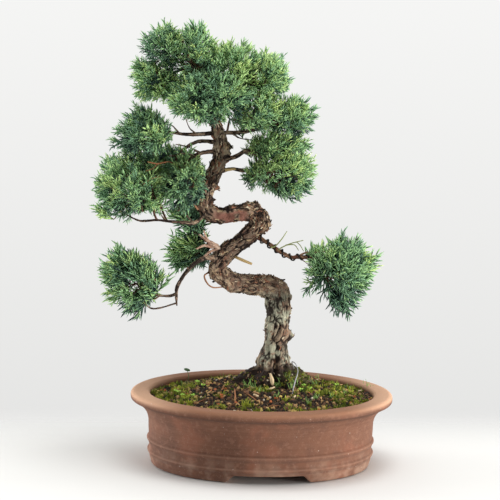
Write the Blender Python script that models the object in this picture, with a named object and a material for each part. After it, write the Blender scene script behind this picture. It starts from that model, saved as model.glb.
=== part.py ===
"""Juniper bonsai in an oval clay pot.

The trunk rises from a spread foot, turns sharply left, comes back to the right, doubles
over at a knuckle and then climbs through the crown to its tip.  Boughs leave it at the
bends and carry separate uneven masses of scale foliage.

Sizes and places are in millimetres, measured from the middle of the pot on the ground:
+X to the right, +Y to the back, +Z up.  A mesh is turned into metres when it is made.
"""

import math
import random

import bmesh
import bpy
from mathutils import Vector
from mathutils.bvhtree import BVHTree

MM = 0.001
SEAT = 0.3                  # gap between two solids that touch

# ---- pot -------------------------------------------------------------------------------
POT_LENGTH = 208.0
POT_WIDTH = 161.4
POT_HEIGHT = 58.3
POT_SIDES = 36
LIP_ROUND = 1.4
RIM_WIDTH = 14.9
COVE_LOW = 30.0             # the hollow curve under the lip starts here
COVE_HIGH = 52.5
COVE_STEPS = 5
WALL_TOP_INSET = 14.6       # insets are counted inwards from the edge of the lip
WALL_FOOT_INSET = 15.8
WALL_FOOT_Z = 4.0
FOOT_INSET = 17.8
FOOT_WIDTH = 12.0
FOOT_HEIGHT = 6.5
FOOT_CUT = (67.6, 50.0)     # cut-out in the foot: width on the ground, width at its top
RIDGES = (10.5, 20.0)       # heights of the two raised lines round the wall
RIDGE_WIDTH = 2.6
RIDGE_PROUD = 1.1
WALL_THICK = 6.0
FLOOR_Z = 11.0              # inside floor
FLOOR_ROUND = 5.0
DRAIN_X = 36.0
DRAIN_DIAMETER = 13.0
DRAIN_SIDES = 16
CUT_OVERRUN = 1.0           # how far a cutter runs past what it cuts

# ---- soil ------------------------------------------------------------------------------
SOIL_EDGE_Z = 54.0          # where the soil meets the wall
SOIL_CROWN_Z = 62.0         # flat top of the mound, under the trunk
SOIL_CROWN = (11.0, 12.0, 37.0, 27.0)      # middle x, y and half sizes of that flat top
SOIL_STEPS = 3

# ---- trunk -----------------------------------------------------------------------------
TRUNK_SIDES = 12
TRUNK_STEP = 7.0            # distance between rings
# x, y, z and thickness at the foot, the bends and the tip
TRUNK = (
    (9.5, 12, 62.3, 27), (9.5, 12, 81, 23.5), (11.5, 12, 97, 18.5), (12, 12, 124, 18.5),
    (9.5, 11, 137, 19), (-1, 9.5, 141.5, 17), (-14, 7, 143, 16), (-29, 4, 146.5, 15.5),
    (-38, 1, 156.5, 14.5), (-33, 1, 167.5, 14), (-20, 3, 177.5, 14.5), (-10.5, 6, 186, 14.5),
    (-6.5, 6.5, 193, 14), (-11.5, 6, 199.5, 13.5), (-22, 4, 199.5, 13.5), (-37, 2, 197.5, 13),
    (-47.5, 2, 202.5, 13),
    (-50, 2, 212, 12), (-45, 4, 226, 11.5), (-38.5, 5, 242, 11), (-38.5, 4, 256, 10.5),
    (-42, 3, 268, 9), (-51, 1, 292, 6.5), (-62, 0, 314, 4.5), (-73, 0, 337, 2.2),
)
# roots that spread over the soil: bearing, reach past the trunk, half width, height
ROOTS = (
    (-4, 21, 20, 21), (182, 20, 26, 17), (118, 11, 20, 9), (62, 9, 18, 9), (238, 12, 20, 13),
    (305, 11, 18, 11),
)
TRUNK_UNEVEN = 0.05

# ---- boughs ----------------------------------------------------------------------------
BOUGH_SIDES = 6
BOUGH_STEP = 7.0
# name: stations from the limb that carries it, thickness at root and tip, carrier, mass
BOUGHS = {
    "bough_right_wired": (((-12, 5, 184), (0, 2, 177), (9, -3, 171.5), (18, -7, 167),
                           (26, -9, 167.5), (50, -10, 165)), 5.0, 2.8,
                          "trunk", "mass_right"),
    "bough_left_hook": (((-36, 0, 163), (-43, -6, 165.5), (-50, -11, 165.5),
                         (-58.5, -15, 161), (-66, -17, 152.5), (-70.5, -18, 144),
                         (-71, -18, 136), (-70.5, -18, 129.5)), 6.0, 3.4, "trunk", None),
    "bough_ball": (((-70.8, -18, 139), (-77.5, -17, 137), (-90, -14, 138), (-104, -8, 146)),
                   3.0, 2.4, "bough_left_hook", "mass_ball"),
    "bough_low_left": (((-47, 2, 202), (-57, -12, 194), (-71, -17, 194.5), (-87, -18, 196),
                        (-102, -16, 195.5), (-118, -10, 204)), 4.4, 2.4, "trunk",
                       "mass_left_main"),
    "bough_left_top": (((-40, 4, 262), (-54, 0, 261.2), (-65, -2, 260.8), (-76, -2, 262),
                        (-100, 0, 264)), 4.6, 2.8, "trunk", "mass_left_upper"),
    "bough_left_back": (((-39, 4, 254), (-52, 9, 255), (-62, 18, 250), (-76, 34, 236)),
                        4.6, 2.8, "trunk", "mass_left_back"),
    "bough_left_front": (((-38, 5, 247), (-51, -4, 247.5), (-61, -9, 244), (-70, -12, 236),
                          (-74, -14, 222)), 4.8, 3.0, "trunk", "mass_left_inner"),
    "bough_right_top": (((-40, 4, 262), (-24, 1, 263), (-10, -4, 266.5), (0, -6, 270),
                         (6, -8, 278)), 4.6, 3.2, "trunk", "mass_crown_right"),
    "bough_right_upper": (((-38, 5, 240), (-26, 0, 244.5), (-19, -3, 249), (-8, -5, 249),
                           (6, -6, 257)), 4.8, 3.0, "trunk", "mass_right_upper"),
    "bough_right_cut": (((-42, 6, 231), (-28, 11, 233.5), (-18, 14, 232), (8, 14, 232)),
                        4.8, 3.0, "trunk", "mass_right_lower"),
    "bough_inner": (((-34, 4, 168), (-43, 11, 175), (-52, 15, 176), (-64, 18, 172)),
                    4.2, 2.8, "trunk", "mass_inner_low"),
}
# dead stubs: the same, ending bare in the air
STUBS = {
    "stub_bleached": (((-35, 1, 169), (-41, -3, 174.5), (-47, -8, 179), (-54, -13, 184.5)),
                      7.0, 2.6, "trunk", None),
}

# ---- foliage ---------------------------------------------------------------------------
FINE_HALF = 20.0            # a mass with no half size over this grows from a coarser ball
LUMPS = 18
LUMP_HEIGHT = 0.22
LUMP_SPREAD = 0.07
TIP_SPREAD = 0.045
# name: middle, half sizes, tips that stand out of it.  Every pair is kept apart by a plane.
MASSES = {
    "mass_crest": ((-85, 1, 328), (17, 24, 20),
                   ((-83, 0, 350), (-91, 4, 343), (-102, 0, 337), (-77, -3, 346))),
    "mass_crown_left": ((-91, 0, 301), (17, 32, 16),
                        ((-112, -6, 319), (-109, 4, 311), (-107, 2, 299), (-109, 8, 290),
                         (-100, -4, 288), (-88, -26, 288))),
    "mass_top": ((-62, -2, 324), (17, 29, 22),
                 ((-57, -4, 348), (-64, 4, 344), (-51, 0, 346), (-70, 2, 342))),
    "mass_top_middle": ((-34, 0, 310), (23, 38, 23),
                        ((-31, -2, 337), (-23, 6, 336), (-15, 0, 333), (-39, -6, 332))),
    "mass_top_right": ((-3, 2, 306), (18, 38, 21),
                       ((-1, 2, 329), (11, -4, 326), (14, 6, 320), (14, 0, 297),
                        (-10, 3, 328))),
    "mass_crown_right": ((-9, -2, 283), (20, 40, 17), ((-12, 0, 267), (-4, -34, 276))),
    "mass_shoulder": ((17, 0, 278), (20, 37, 15),
                      ((38, 0, 281), (32, -6, 291), (36, 6, 271), (22, 4, 292),
                       (33, -4, 266), (22, -32, 276))),
    "mass_crown_front": ((-50, -31, 291), (31, 24, 21),
                         ((-78, -26, 288), (-60, -50, 298), (-36, -50, 286))),
    "mass_crown_back": ((-49, 33, 293), (35, 23, 23),
                        ((-82, 32, 292), (-50, 56, 300), (-26, 50, 286), (-58, 38, 320))),
    "mass_right_upper": ((9, 3, 254), (28, 33, 10),
                         ((-22, 4, 257), (34, -4, 256), (-8, 28, 258), (20, -28, 255))),
    "mass_right_lower": ((12, -4, 232), (28, 38, 20),
                         ((36, -2, 244), (37, -6, 236), (39, -8, 222), (29, 0, 213),
                          (19, -10, 209), (-24, -4, 230), (-11, -8, 219), (8, 34, 236))),
    "mass_left_upper": ((-100, 0, 261), (22, 38, 18),
                        ((-112, -4, 278), (-101, 4, 284), (-115, 2, 271), (-124, -2, 259),
                         (-89, -4, 280), (-78, 4, 262))),
    "mass_left_main": ((-104, -8, 222), (33, 41, 23),
                       ((-140, -2, 208), (-137, -8, 220), (-133, 2, 232), (-137, -8, 199),
                        (-130, 4, 243), (-118, -8, 194), (-103, -44, 216))),
    "mass_left_inner": ((-69, -16, 223), (19, 29, 20),
                        ((-51, -14, 238), (-56, -18, 214), (-66, -40, 226))),
    "mass_left_back": ((-80, 38, 228), (36, 25, 22),
                       ((-116, 40, 228), (-60, 56, 232), (-84, 60, 222))),
    "mass_inner_top": ((-62, 17, 199), (16, 16, 11), ((-76, 12, 200), (-48, 24, 190))),
    "mass_inner_low": ((-65, 17, 167), (15, 18, 17),
                       ((-81, 12, 170), (-77, 14, 154), (-58, 14, 148), (-53, 12, 184))),
    "mass_ball": ((-105, -8, 147), (22, 27, 25),
                  ((-120, -8, 180), (-128, -8, 167), (-130, -8, 141), (-127, -10, 132),
                   (-112, -6, 119), (-101, -8, 117), (-85, -8, 133), (-80, -6, 156),
                   (-106, -8, 175))),
    "mass_right": ((57, -10, 160), (29, 33, 24),
                   ((60, -8, 191), (74, -8, 184), (89, -10, 174), (93, -12, 164),
                    (77, -6, 126), (67, -10, 118), (42, -8, 127), (28, -12, 138),
                    (25, -14, 160), (32, -8, 180))),
}
CUT_ROUND_TRUNK = ("mass_crest", "mass_top", "mass_top_middle", "mass_crown_left",
                   "mass_crown_front", "mass_crown_back", "mass_crown_right",
                   "mass_left_inner", "mass_inner_top")
TRUNK_CLEAR = 0.4           # extra radius of the way cut for the trunk

# the origin is under the middle of the whole plant's box
LEFT_REACH = 140.0
PLANT_SHIFT = (LEFT_REACH - POT_LENGTH / 2) / 2

CLAY = ((0.27, 0.118, 0.078), 0.85)
EARTH = ((0.055, 0.042, 0.03), 0.95)
BARK = ((0.16, 0.105, 0.075), 0.9)
DEADWOOD = ((0.42, 0.27, 0.2), 0.85)
FOLIAGE = ((0.075, 0.17, 0.075), 0.75)


def material(name, look):
    """One opaque material: colour and roughness."""
    colour, roughness = look
    result = bpy.data.materials.new(name)
    result.use_nodes = True
    shader = result.node_tree.nodes["Principled BSDF"]
    shader.inputs["Base Color"].default_value = (*colour, 1.0)
    shader.inputs["Roughness"].default_value = roughness
    shader.inputs["Metallic"].default_value = 0.0
    return result


def add_object(name, bm, look, smooth_angle=40.0):
    """Turn a bmesh in millimetres into an object in metres, facing outwards."""
    bmesh.ops.scale(bm, vec=(MM, MM, MM), verts=bm.verts)
    bmesh.ops.recalc_face_normals(bm, faces=bm.faces)
    mesh = bpy.data.meshes.new(name)
    bm.to_mesh(mesh)
    bm.free()
    mesh.shade_smooth()
    mesh.set_sharp_from_angle(angle=math.radians(smooth_angle))
    mesh.materials.append(material(name, look))
    obj = bpy.data.objects.new(name, mesh)
    bpy.context.scene.collection.objects.link(obj)
    return obj


def skin_rings(rings):
    """Join rings of points into one closed body with a flat cap at each end."""
    bm = bmesh.new()
    loops = [[bm.verts.new(point) for point in ring] for ring in rings]
    for low, high in zip(loops, loops[1:]):
        for i, vert in enumerate(low):
            j = (i + 1) % len(low)
            bm.faces.new((vert, low[j], high[j], high[i]))
    bm.faces.new(reversed(loops[0]))
    bm.faces.new(loops[-1])
    return bm


def cut(obj, cutter):
    """Take a cutter out of an object; the cutter stays in the file as a guide."""
    cutter.hide_render = True
    cutter.display_type = "WIRE"
    boolean = obj.modifiers.new("cut_" + cutter.name, "BOOLEAN")
    boolean.operation = "DIFFERENCE"
    boolean.solver = "EXACT"
    boolean.object = cutter


# ---- pot and soil ----------------------------------------------------------------------

def oval(z, inset, centre=(0.0, 0.0), half=None):
    """A level ellipse, either the pot's own shrunk by an inset or one of given sizes."""
    a, b = half or (POT_LENGTH / 2 - inset, POT_WIDTH / 2 - inset)
    turns = [2 * math.pi * i / POT_SIDES for i in range(POT_SIDES)]
    return [Vector((centre[0] + a * math.cos(t), centre[1] + b * math.sin(t), z))
            for t in turns]


def wall_inset(z):
    """The outer wall leans out a little from the foot up to the cove."""
    part = (z - WALL_FOOT_Z) / (COVE_LOW - WALL_FOOT_Z)
    return WALL_FOOT_INSET + (WALL_TOP_INSET - WALL_FOOT_INSET) * part


def outer_section():
    """Height and inset from the ground up the outside to the top of the lip."""
    rows = [(0.0, FOOT_INSET), (WALL_FOOT_Z, WALL_FOOT_INSET)]
    for z in RIDGES:
        for side, proud in ((-1.0, 0.0), (0.0, 1.0), (1.0, 0.0)):
            height = z + side * RIDGE_WIDTH / 2
            rows.append((height, wall_inset(height) - proud * RIDGE_PROUD))
    for step in range(COVE_STEPS + 1):
        part = step / COVE_STEPS
        rows.append((COVE_LOW + (COVE_HIGH - COVE_LOW) * part,
                     WALL_TOP_INSET * (1 - part ** 3)))
    rows.append((POT_HEIGHT - LIP_ROUND, 0.0))
    rows.append((POT_HEIGHT, LIP_ROUND))
    return rows


def inner_section(gap=0.0):
    """Height and inset from the inner edge of the rim down to the edge of the floor."""
    foot = wall_inset(FLOOR_Z) + WALL_THICK
    waist = wall_inset(COVE_LOW) + WALL_THICK
    return [(POT_HEIGHT - LIP_ROUND, RIM_WIDTH + gap), (COVE_LOW, waist + gap),
            (FLOOR_Z + FLOOR_ROUND, foot + gap), (FLOOR_Z + gap, foot + FLOOR_ROUND + gap)]


def make_pot():
    """Oval pot on a low foot with a cut-out front and back, and two drain holes."""
    foot_inner = FOOT_INSET + FOOT_WIDTH
    section = [(FOOT_HEIGHT, foot_inner), (0.0, foot_inner)]
    section += outer_section() + [(POT_HEIGHT, RIM_WIDTH - LIP_ROUND)] + inner_section()
    pot = add_object("pot", skin_rings([oval(z, inset) for z, inset in section]), CLAY, 35.0)

    low, high = FOOT_CUT
    corners = ((-low / 2, -CUT_OVERRUN), (low / 2, -CUT_OVERRUN), (high / 2, FOOT_HEIGHT),
               (-high / 2, FOOT_HEIGHT))
    ends = [[Vector((x, side * POT_WIDTH, z)) for x, z in corners] for side in (-1, 1)]
    cut(pot, add_object("cutter_foot", skin_rings(ends), CLAY))
    for side, x in (("left", -DRAIN_X), ("right", DRAIN_X)):
        bm = bmesh.new()
        bmesh.ops.create_cone(bm, cap_ends=True, segments=DRAIN_SIDES, depth=2 * FLOOR_Z,
                              radius1=DRAIN_DIAMETER / 2, radius2=DRAIN_DIAMETER / 2)
        bmesh.ops.translate(bm, vec=(x, 0.0, FLOOR_Z), verts=bm.verts)
        cut(pot, add_object("cutter_drain_" + side, bm, CLAY))


def make_soil():
    """Soil fills the pot and rises to a low mound with a flat top under the trunk."""
    rim, waist, corner, floor = inner_section(SEAT)
    part = (SOIL_EDGE_Z - waist[0]) / (rim[0] - waist[0])
    edge = waist[1] + (rim[1] - waist[1]) * part
    rings = [oval(z, inset) for z, inset in (floor, corner, waist)]
    x, y, half_x, half_y = SOIL_CROWN
    outside = oval(SOIL_EDGE_Z, edge)
    inside = oval(SOIL_CROWN_Z, 0.0, (x, y), (half_x, half_y))
    for step in range(SOIL_STEPS + 1):
        part = step / SOIL_STEPS
        ring_of_soil = [a.lerp(b, part) for a, b in zip(outside, inside)]
        for point in ring_of_soil:
            rise = part * part * (3 - 2 * part)
            point.z = SOIL_EDGE_Z + (SOIL_CROWN_Z - SOIL_EDGE_Z) * rise
        rings.append(ring_of_soil)
    add_object("soil", skin_rings(rings), EARTH)


# ---- limbs -----------------------------------------------------------------------------

def smooth_path(stations, spacing):
    """Points every so often along a smooth curve; stations are x, y, z and thickness."""
    points = [Vector(s) for s in stations]
    points = [2 * points[0] - points[1]] + points + [2 * points[-1] - points[-2]]
    path = []
    for a, b, c, d in zip(points, points[1:], points[2:], points[3:]):
        steps = max(1, round((c - b).xyz.length / spacing))
        for step in range(steps):
            t = step / steps
            path.append(0.5 * (2 * b + (c - a) * t + (2 * a - 5 * b + 4 * c - d) * t * t
                               + (3 * b - a - 3 * c + d) * t ** 3))
    path.append(points[-2])
    return path


def frames(path):
    """A side and an up vector at each point, turning as little as they can."""
    result = []
    side = Vector((1.0, 0.0, 0.0))
    for i in range(len(path)):
        ahead = (path[min(i + 1, len(path) - 1)] - path[max(i - 1, 0)]).xyz.normalized()
        side = (side - ahead * side.dot(ahead)).normalized()
        result.append((side.copy(), ahead.cross(side)))
    return result


def ring(centre, frame, radii):
    """Points round a limb, one for each radius."""
    side, up = frame
    turns = [2 * math.pi * i / len(radii) for i in range(len(radii))]
    return [centre.xyz + (side * math.cos(t) + up * math.sin(t)) * r
            for t, r in zip(turns, radii)]


def root_swell(turn, height):
    """How far the roots push the foot out at a bearing and a height over the soil."""
    swell = 0.0
    for bearing, reach, width, top in ROOTS:
        off = (math.degrees(turn) - bearing + 180) % 360 - 180
        swell += reach * math.exp(-(off / width) ** 2) * max(0.0, 1 - height / top) ** 0.8
    return swell


def trunk_rings(extra):
    """The trunk's rings from its flat foot to its tip, wider by an extra radius."""
    path = smooth_path(TRUNK, TRUNK_STEP)
    rings = []
    for row, (centre, frame) in enumerate(zip(path, frames(path))):
        radii = []
        for i in range(TRUNK_SIDES):
            turn = 2 * math.pi * i / TRUNK_SIDES
            flute = sum(math.sin(k * turn + 0.21 * row * (k - 3) + k) for k in (2, 3, 5))
            radii.append(centre.w / 2 * (1 + TRUNK_UNEVEN * flute)
                         + root_swell(turn, centre.z - TRUNK[0][2]) + extra)
        rings.append(ring(centre, frame, radii))
    for point in rings[0]:
        point.z = TRUNK[0][2]
    return rings


def surface(obj):
    """Search tree of an object's finished surface, in metres."""
    return BVHTree.FromObject(obj, bpy.context.evaluated_depsgraph_get())


def is_inside(tree, point):
    """A ray out of a closed surface's inside crosses it an odd number of times."""
    way = Vector((0.31, 0.27, 0.91)).normalized()
    crossings = 0
    hit = tree.ray_cast(point, way)[0]
    while hit:
        crossings += 1
        hit = tree.ray_cast(hit + way * MM * MM, way)[0]
    return crossings % 2 == 1


def room(tree, points):
    """Least distance in millimetres from a ring to a surface, negative inside it."""
    least = math.inf
    middles = [(a + b) / 2 for a, b in zip(points, points[1:] + points[:1])]
    for point in points + middles:
        distance = tree.find_nearest(point * MM)[3] / MM
        least = min(least, -distance if is_inside(tree, point * MM) else distance)
    return least


def make_bough(name, bough, look):
    """A tapering limb from the surface of its carrier to the surface of its mass."""
    stations, root_size, tip_size, carrier, mass = bough
    last = len(stations) - 1
    sized = [(*s, root_size + (tip_size - root_size) * i / last)
             for i, s in enumerate(stations)]
    path = smooth_path(sized, SEAT)
    rings = [ring(centre, frame, [centre.w / 2] * BOUGH_SIDES)
             for centre, frame in zip(path, frames(path))]
    tree = surface(bpy.data.objects[carrier])
    first = 1 + max(i for i in range(len(rings) // 2) if room(tree, rings[i]) < SEAT)
    end = len(rings) - 1
    if mass:
        tree = surface(bpy.data.objects[mass])
        end = next((i for i in range(first, len(rings)) if room(tree, rings[i]) < SEAT),
                   len(rings)) - 1
    count = max(2, round((end - first) * SEAT / BOUGH_STEP))
    picked = [rings[first + round((end - first) * i / count)] for i in range(count + 1)]
    add_object(name, skin_rings(picked), look)


# ---- foliage ---------------------------------------------------------------------------

def extent(half, direction):
    """Reach of an ellipsoid of given half sizes along a unit direction."""
    return math.sqrt(sum((h * d) ** 2 for h, d in zip(half, direction)))


def walls_between(name):
    """Planes that keep a mass clear of every other: unit direction and distance."""
    middle, half, _ = MASSES[name]
    walls = []
    for other, (there, other_half, _) in MASSES.items():
        if other == name:
            continue
        way = Vector(there) - Vector(middle)
        apart = way.length
        way.normalize()
        mine, theirs = extent(half, way), extent(other_half, way)
        walls.append((way, apart * mine / (mine + theirs) - SEAT / 2))
    return walls


def make_mass(name, seed):
    """An uneven closed mass: an ellipsoid with seeded lumps and tips drawn out of it."""
    middle, half, tips = MASSES[name]
    middle = Vector(middle)
    rng = random.Random(seed)
    lumps = [(Vector([rng.gauss(0, 1) for _ in range(3)]).normalized(),
              rng.uniform(-LUMP_HEIGHT, LUMP_HEIGHT)) for _ in range(LUMPS)]
    walls = walls_between(name)

    def core(way):
        lift = sum(size * math.exp((way.dot(to) - 1) / LUMP_SPREAD) for to, size in lumps)
        return (1 + lift) / math.sqrt(sum((w / h) ** 2 for w, h in zip(way, half)))

    def inside(way, reach):
        for to, limit in walls:
            along = way.dot(to)
            if along > 0:
                reach = min(reach, limit / along)
        return reach

    bm = bmesh.new()
    bmesh.ops.create_icosphere(bm, subdivisions=3 if max(half) > FINE_HALF else 2,
                               radius=1.0)
    ways = [vert.co.normalized() for vert in bm.verts]
    reaches = [core(way) for way in ways]
    for tip in tips:
        to = Vector(tip) - middle
        length = to.length
        to.normalize()
        lift = max(0.0, length - core(to))
        nearest = max(range(len(ways)), key=lambda i: ways[i].dot(to))
        ways[nearest] = to
        reaches[nearest] = max(core(to), length)
        for i, way in enumerate(ways):
            if i != nearest:
                reaches[i] = max(reaches[i],
                                 core(way) + lift * math.exp((way.dot(to) - 1) / TIP_SPREAD))
    for vert, way, reach in zip(bm.verts, ways, reaches):
        vert.co = middle + way * inside(way, reach)
    return add_object(name, bm, FOLIAGE, 60.0)


def main():
    """Build every piece and stand the plant with its box's middle on the origin."""
    for obj in list(bpy.data.objects):
        bpy.data.objects.remove(obj)
    make_pot()
    make_soil()
    add_object("trunk", skin_rings(trunk_rings(0.0)), BARK)
    way = add_object("cutter_trunk_way", skin_rings(trunk_rings(TRUNK_CLEAR)), BARK)
    for seed, name in enumerate(MASSES):
        mass = make_mass(name, seed)
        if name in CUT_ROUND_TRUNK:
            cut(mass, way)
    for name, bough in BOUGHS.items():
        make_bough(name, bough, BARK)
    for name, stub in STUBS.items():
        make_bough(name, stub, DEADWOOD)
    plant = bpy.data.objects.new("plant", None)
    bpy.context.scene.collection.objects.link(plant)
    for obj in bpy.data.objects:
        if obj is not plant:
            obj.parent = plant
    plant.location.x = PLANT_SHIFT * MM


main()
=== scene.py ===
# %% [markdown]
# # A juniper bonsai in an oval clay pot
#
# This lesson builds the looks of a small trained tree in Blender: a fired clay pot, gritty
# potting mix with moss, a trunk with flaking bark that turns back on itself twice, and a crown
# of scale foliage grown by a branching rule.  The solids that give every piece its place come
# first as a fixed frame, and each piece made here stands where its solid stands.

# %% Load the frame
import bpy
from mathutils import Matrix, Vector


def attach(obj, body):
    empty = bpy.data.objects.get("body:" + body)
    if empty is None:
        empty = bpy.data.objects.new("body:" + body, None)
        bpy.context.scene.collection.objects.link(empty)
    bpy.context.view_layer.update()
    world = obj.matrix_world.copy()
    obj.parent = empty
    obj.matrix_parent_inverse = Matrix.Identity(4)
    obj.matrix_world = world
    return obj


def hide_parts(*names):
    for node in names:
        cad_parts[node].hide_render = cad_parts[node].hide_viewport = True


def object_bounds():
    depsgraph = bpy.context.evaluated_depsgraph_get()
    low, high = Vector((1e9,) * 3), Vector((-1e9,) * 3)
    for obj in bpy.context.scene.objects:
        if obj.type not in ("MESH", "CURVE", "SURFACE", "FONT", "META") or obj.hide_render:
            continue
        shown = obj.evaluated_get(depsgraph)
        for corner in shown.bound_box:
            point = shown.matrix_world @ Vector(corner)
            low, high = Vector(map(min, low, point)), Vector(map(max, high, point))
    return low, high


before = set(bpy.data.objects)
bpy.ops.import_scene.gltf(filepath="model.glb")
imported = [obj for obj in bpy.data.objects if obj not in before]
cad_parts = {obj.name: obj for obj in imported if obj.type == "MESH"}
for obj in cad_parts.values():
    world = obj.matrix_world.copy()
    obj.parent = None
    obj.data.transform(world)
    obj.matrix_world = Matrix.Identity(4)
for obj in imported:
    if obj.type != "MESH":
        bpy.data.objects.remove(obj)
cad_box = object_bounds()
print("solids in the frame:", len(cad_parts))

# %% [markdown]
# ## Units and meshes from arrays
#
# The plant is easiest to think of in millimetres measured from the middle of the pot, with the
# ground at zero.  The frame is in metres and stands the whole plant a little to the right, so
# one function turns a table of points from the first into the second.  Meshes are filled from
# arrays, because adding hundreds of thousands of small faces one by one would take minutes.

# %% Units and meshes from arrays
import itertools
import math

import bmesh
import bpy
import numpy as np
from mathutils import Matrix, Vector
from mathutils.bvhtree import BVHTree

MM = 0.001
SHIFT = np.array((18.0, 0.0, 0.0))      # the pot's middle stands this far right of the origin
WHOLE_TURN = 2 * math.pi


def to_world(points):
    """Millimetres from the pot's middle, turned into metres in the frame."""
    return (np.asarray(points, float) + SHIFT) * MM


def from_world(points):
    """Metres in the frame, turned into millimetres from the pot's middle."""
    return np.asarray(points, float) / MM - SHIFT


def in_scene(name, data):
    """A new object in the scene that shows a mesh, a lamp or a camera."""
    made = bpy.data.objects.new(name, data)
    bpy.context.scene.collection.objects.link(made)
    return made


def mesh_object(name, points, faces):
    """A smooth mesh from points in millimetres and faces that all have as many corners."""
    points, faces = to_world(points), np.asarray(faces, np.int32)
    mesh = bpy.data.meshes.new(name)
    mesh.vertices.add(len(points))
    mesh.vertices.foreach_set("co", points.astype(np.float32).ravel())
    mesh.loops.add(faces.size)
    mesh.loops.foreach_set("vertex_index", faces.ravel())
    mesh.polygons.add(len(faces))
    mesh.polygons.foreach_set("loop_start", np.arange(0, faces.size, faces.shape[1]))
    mesh.polygons.foreach_set("use_smooth", np.full(len(faces), True))
    mesh.update(calc_edges=True)
    return in_scene(name, mesh)


def small_shape(name, points, faces):
    """A small shape with flat faces, given in millimetres round its own middle."""
    mesh = bpy.data.meshes.new(name)
    mesh.from_pydata((np.asarray(points) * MM).tolist(), [], faces)
    return in_scene(name, mesh)


def keep_value(piece, name, values, kind="FLOAT"):
    """Store one number, or one vector, for each point of a piece."""
    made = piece.data.attributes.new(name, kind, "POINT")
    field = "vector" if kind == "FLOAT_VECTOR" else "value"
    made.data.foreach_set(field, np.asarray(values, np.float32).ravel())


def triangles(piece):
    """How many triangles a piece has."""
    return sum(len(face.vertices) - 2 for face in piece.data.polygons)


def finished(piece, slot, *nodes, finish=None):
    """Let a piece ride on the plant, take its finish and stand for the solids it replaces.

    The slot is not used.
    """
    if finish:
        piece.data.materials.append(finish)
    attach(piece, "root")
    if nodes:
        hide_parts(*nodes)
    print(f"{piece.name}: {triangles(piece)} triangles")
    return piece


def with_corners(piece, edit, *given):
    """Edit the corners and faces of a piece, then turn every face outward."""
    bm = bmesh.new()
    bm.from_mesh(piece.data)
    bm.verts.ensure_lookup_table()
    edit(bm, *given)
    bmesh.ops.recalc_face_normals(bm, faces=bm.faces)
    bm.to_mesh(piece.data)
    bm.free()
    piece.data.shade_smooth()


def grid_faces(rows, columns):
    """Faces of a tube of rows of points, each row joined to the next."""
    row, column = np.meshgrid(np.arange(rows - 1), np.arange(columns), indexing="ij")
    row, column = row.ravel(), column.ravel()
    after = (column + 1) % columns
    return np.stack((row * columns + column, row * columns + after,
                     (row + 1) * columns + after, (row + 1) * columns + column), 1)


# %% [markdown]
# ## Seeded noise
#
# Bark, clay and soil are all uneven in a way that follows no line.  Value noise gives that: a
# number is fixed for every whole-numbered corner of a lattice, and points between the corners
# get a smooth mix.  It is written for arrays, and the same seed always gives the same surface.

# %% Noise for arrays of points
def lattice(cells, seed):
    """A number from -1 to 1 for each whole-numbered cell, by mixing the bits of its place."""
    cells = cells.astype(np.int64)
    mixed_up = ((cells[..., 0] * 73856093) ^ (cells[..., 1] * 19349663)
                ^ (cells[..., 2] * 83492791))
    mixed_up = (mixed_up ^ (seed * 2654435761)) & 0xFFFFFFFF
    for shift, factor in ((15, 2246822519), (13, 3266489917)):
        mixed_up = ((mixed_up ^ (mixed_up >> shift)) * factor) & 0xFFFFFFFF
    return ((mixed_up ^ (mixed_up >> 16)) & 0xFFFF) / 32767.5 - 1


def noise(points, size, seed=0):
    """Smooth noise whose bumps are about one size across."""
    place = np.asarray(points, float) / size
    cell = np.floor(place)
    part = place - cell
    part = part * part * (3 - 2 * part)
    total = np.zeros(place.shape[:-1])
    for corner in itertools.product((0, 1), repeat=3):
        weight = np.prod(np.where(corner, part, 1 - part), axis=-1)
        total += weight * lattice(cell + corner, seed)
    return total


def rough(points, size, depth, seed):
    """Noise with finer and finer noise laid over it."""
    return sum(noise(points, size / 2 ** i, seed + i) / 2 ** i for i in range(depth))


def cells_apart(points, size, seed):
    """Distance to the nearest and the second nearest of scattered seeds, as parts of a size."""
    place = np.asarray(points, float) / size
    cell = np.floor(place)
    found = np.full((2, *place.shape[:-1]), 9.0)
    for step in itertools.product((-1, 0, 1), repeat=3):
        there = cell + step
        seeds = np.stack([lattice(there, seed + i) for i in (11, 23, 37)], -1) * 0.45 + 0.5
        far = np.linalg.norm(there + seeds - place, axis=-1)
        found[1] = np.minimum(found[1], np.maximum(found[0], far))
        found[0] = np.minimum(found[0], far)
    return found


def ease(values, low, high):
    """0 up to low, 1 from high on, and a smooth step between."""
    part = np.clip((np.asarray(values, float) - low) / (high - low), 0, 1)
    return part * part * (3 - 2 * part)


print("noise at two points:", noise([(0.5, 0.5, 0.5), (1.5, 2.5, 3.5)], 1).round(3))

# %% [markdown]
# ## Camera
#
# The lens stands low in front of the pot, a little to the left, and looks slightly down.  Its
# turn is given as three directions (right, up and forward), which become the columns of its
# matrix.  A long lens keeps the oval of the rim flat.

# %% Camera
EYE = (-153.70, -1342.74, 375.30)
RIGHT, UP, FORWARD = ((0.99458, -0.09970, 0.02951), (-0.01411, 0.15176, 0.98832),
                      (0.10301, 0.98338, -0.14954))

lens = bpy.data.cameras.new("studio_camera")
lens.lens, lens.sensor_width = 125.64, 36.0
lens.clip_start, lens.clip_end = 0.01, 100.0
camera = in_scene("studio_camera", lens)
turned = Matrix((RIGHT, UP, [-v for v in FORWARD])).transposed().to_4x4()
camera.matrix_world = Matrix.Translation(to_world(EYE)) @ turned
bpy.context.scene.camera = camera
print("camera at", [round(v, 3) for v in camera.matrix_world.translation])

# %% [markdown]
# ## Nodes by name
#
# Finishes and scattering are both built from nodes.  A few helpers keep that short: each adds
# one node, gives its inputs a plain value or a link, and hands back what comes out of it.  The
# plain colours and numbers of a finish stand on the shader itself, and a link takes over only
# where the finish changes over the surface.

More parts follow.
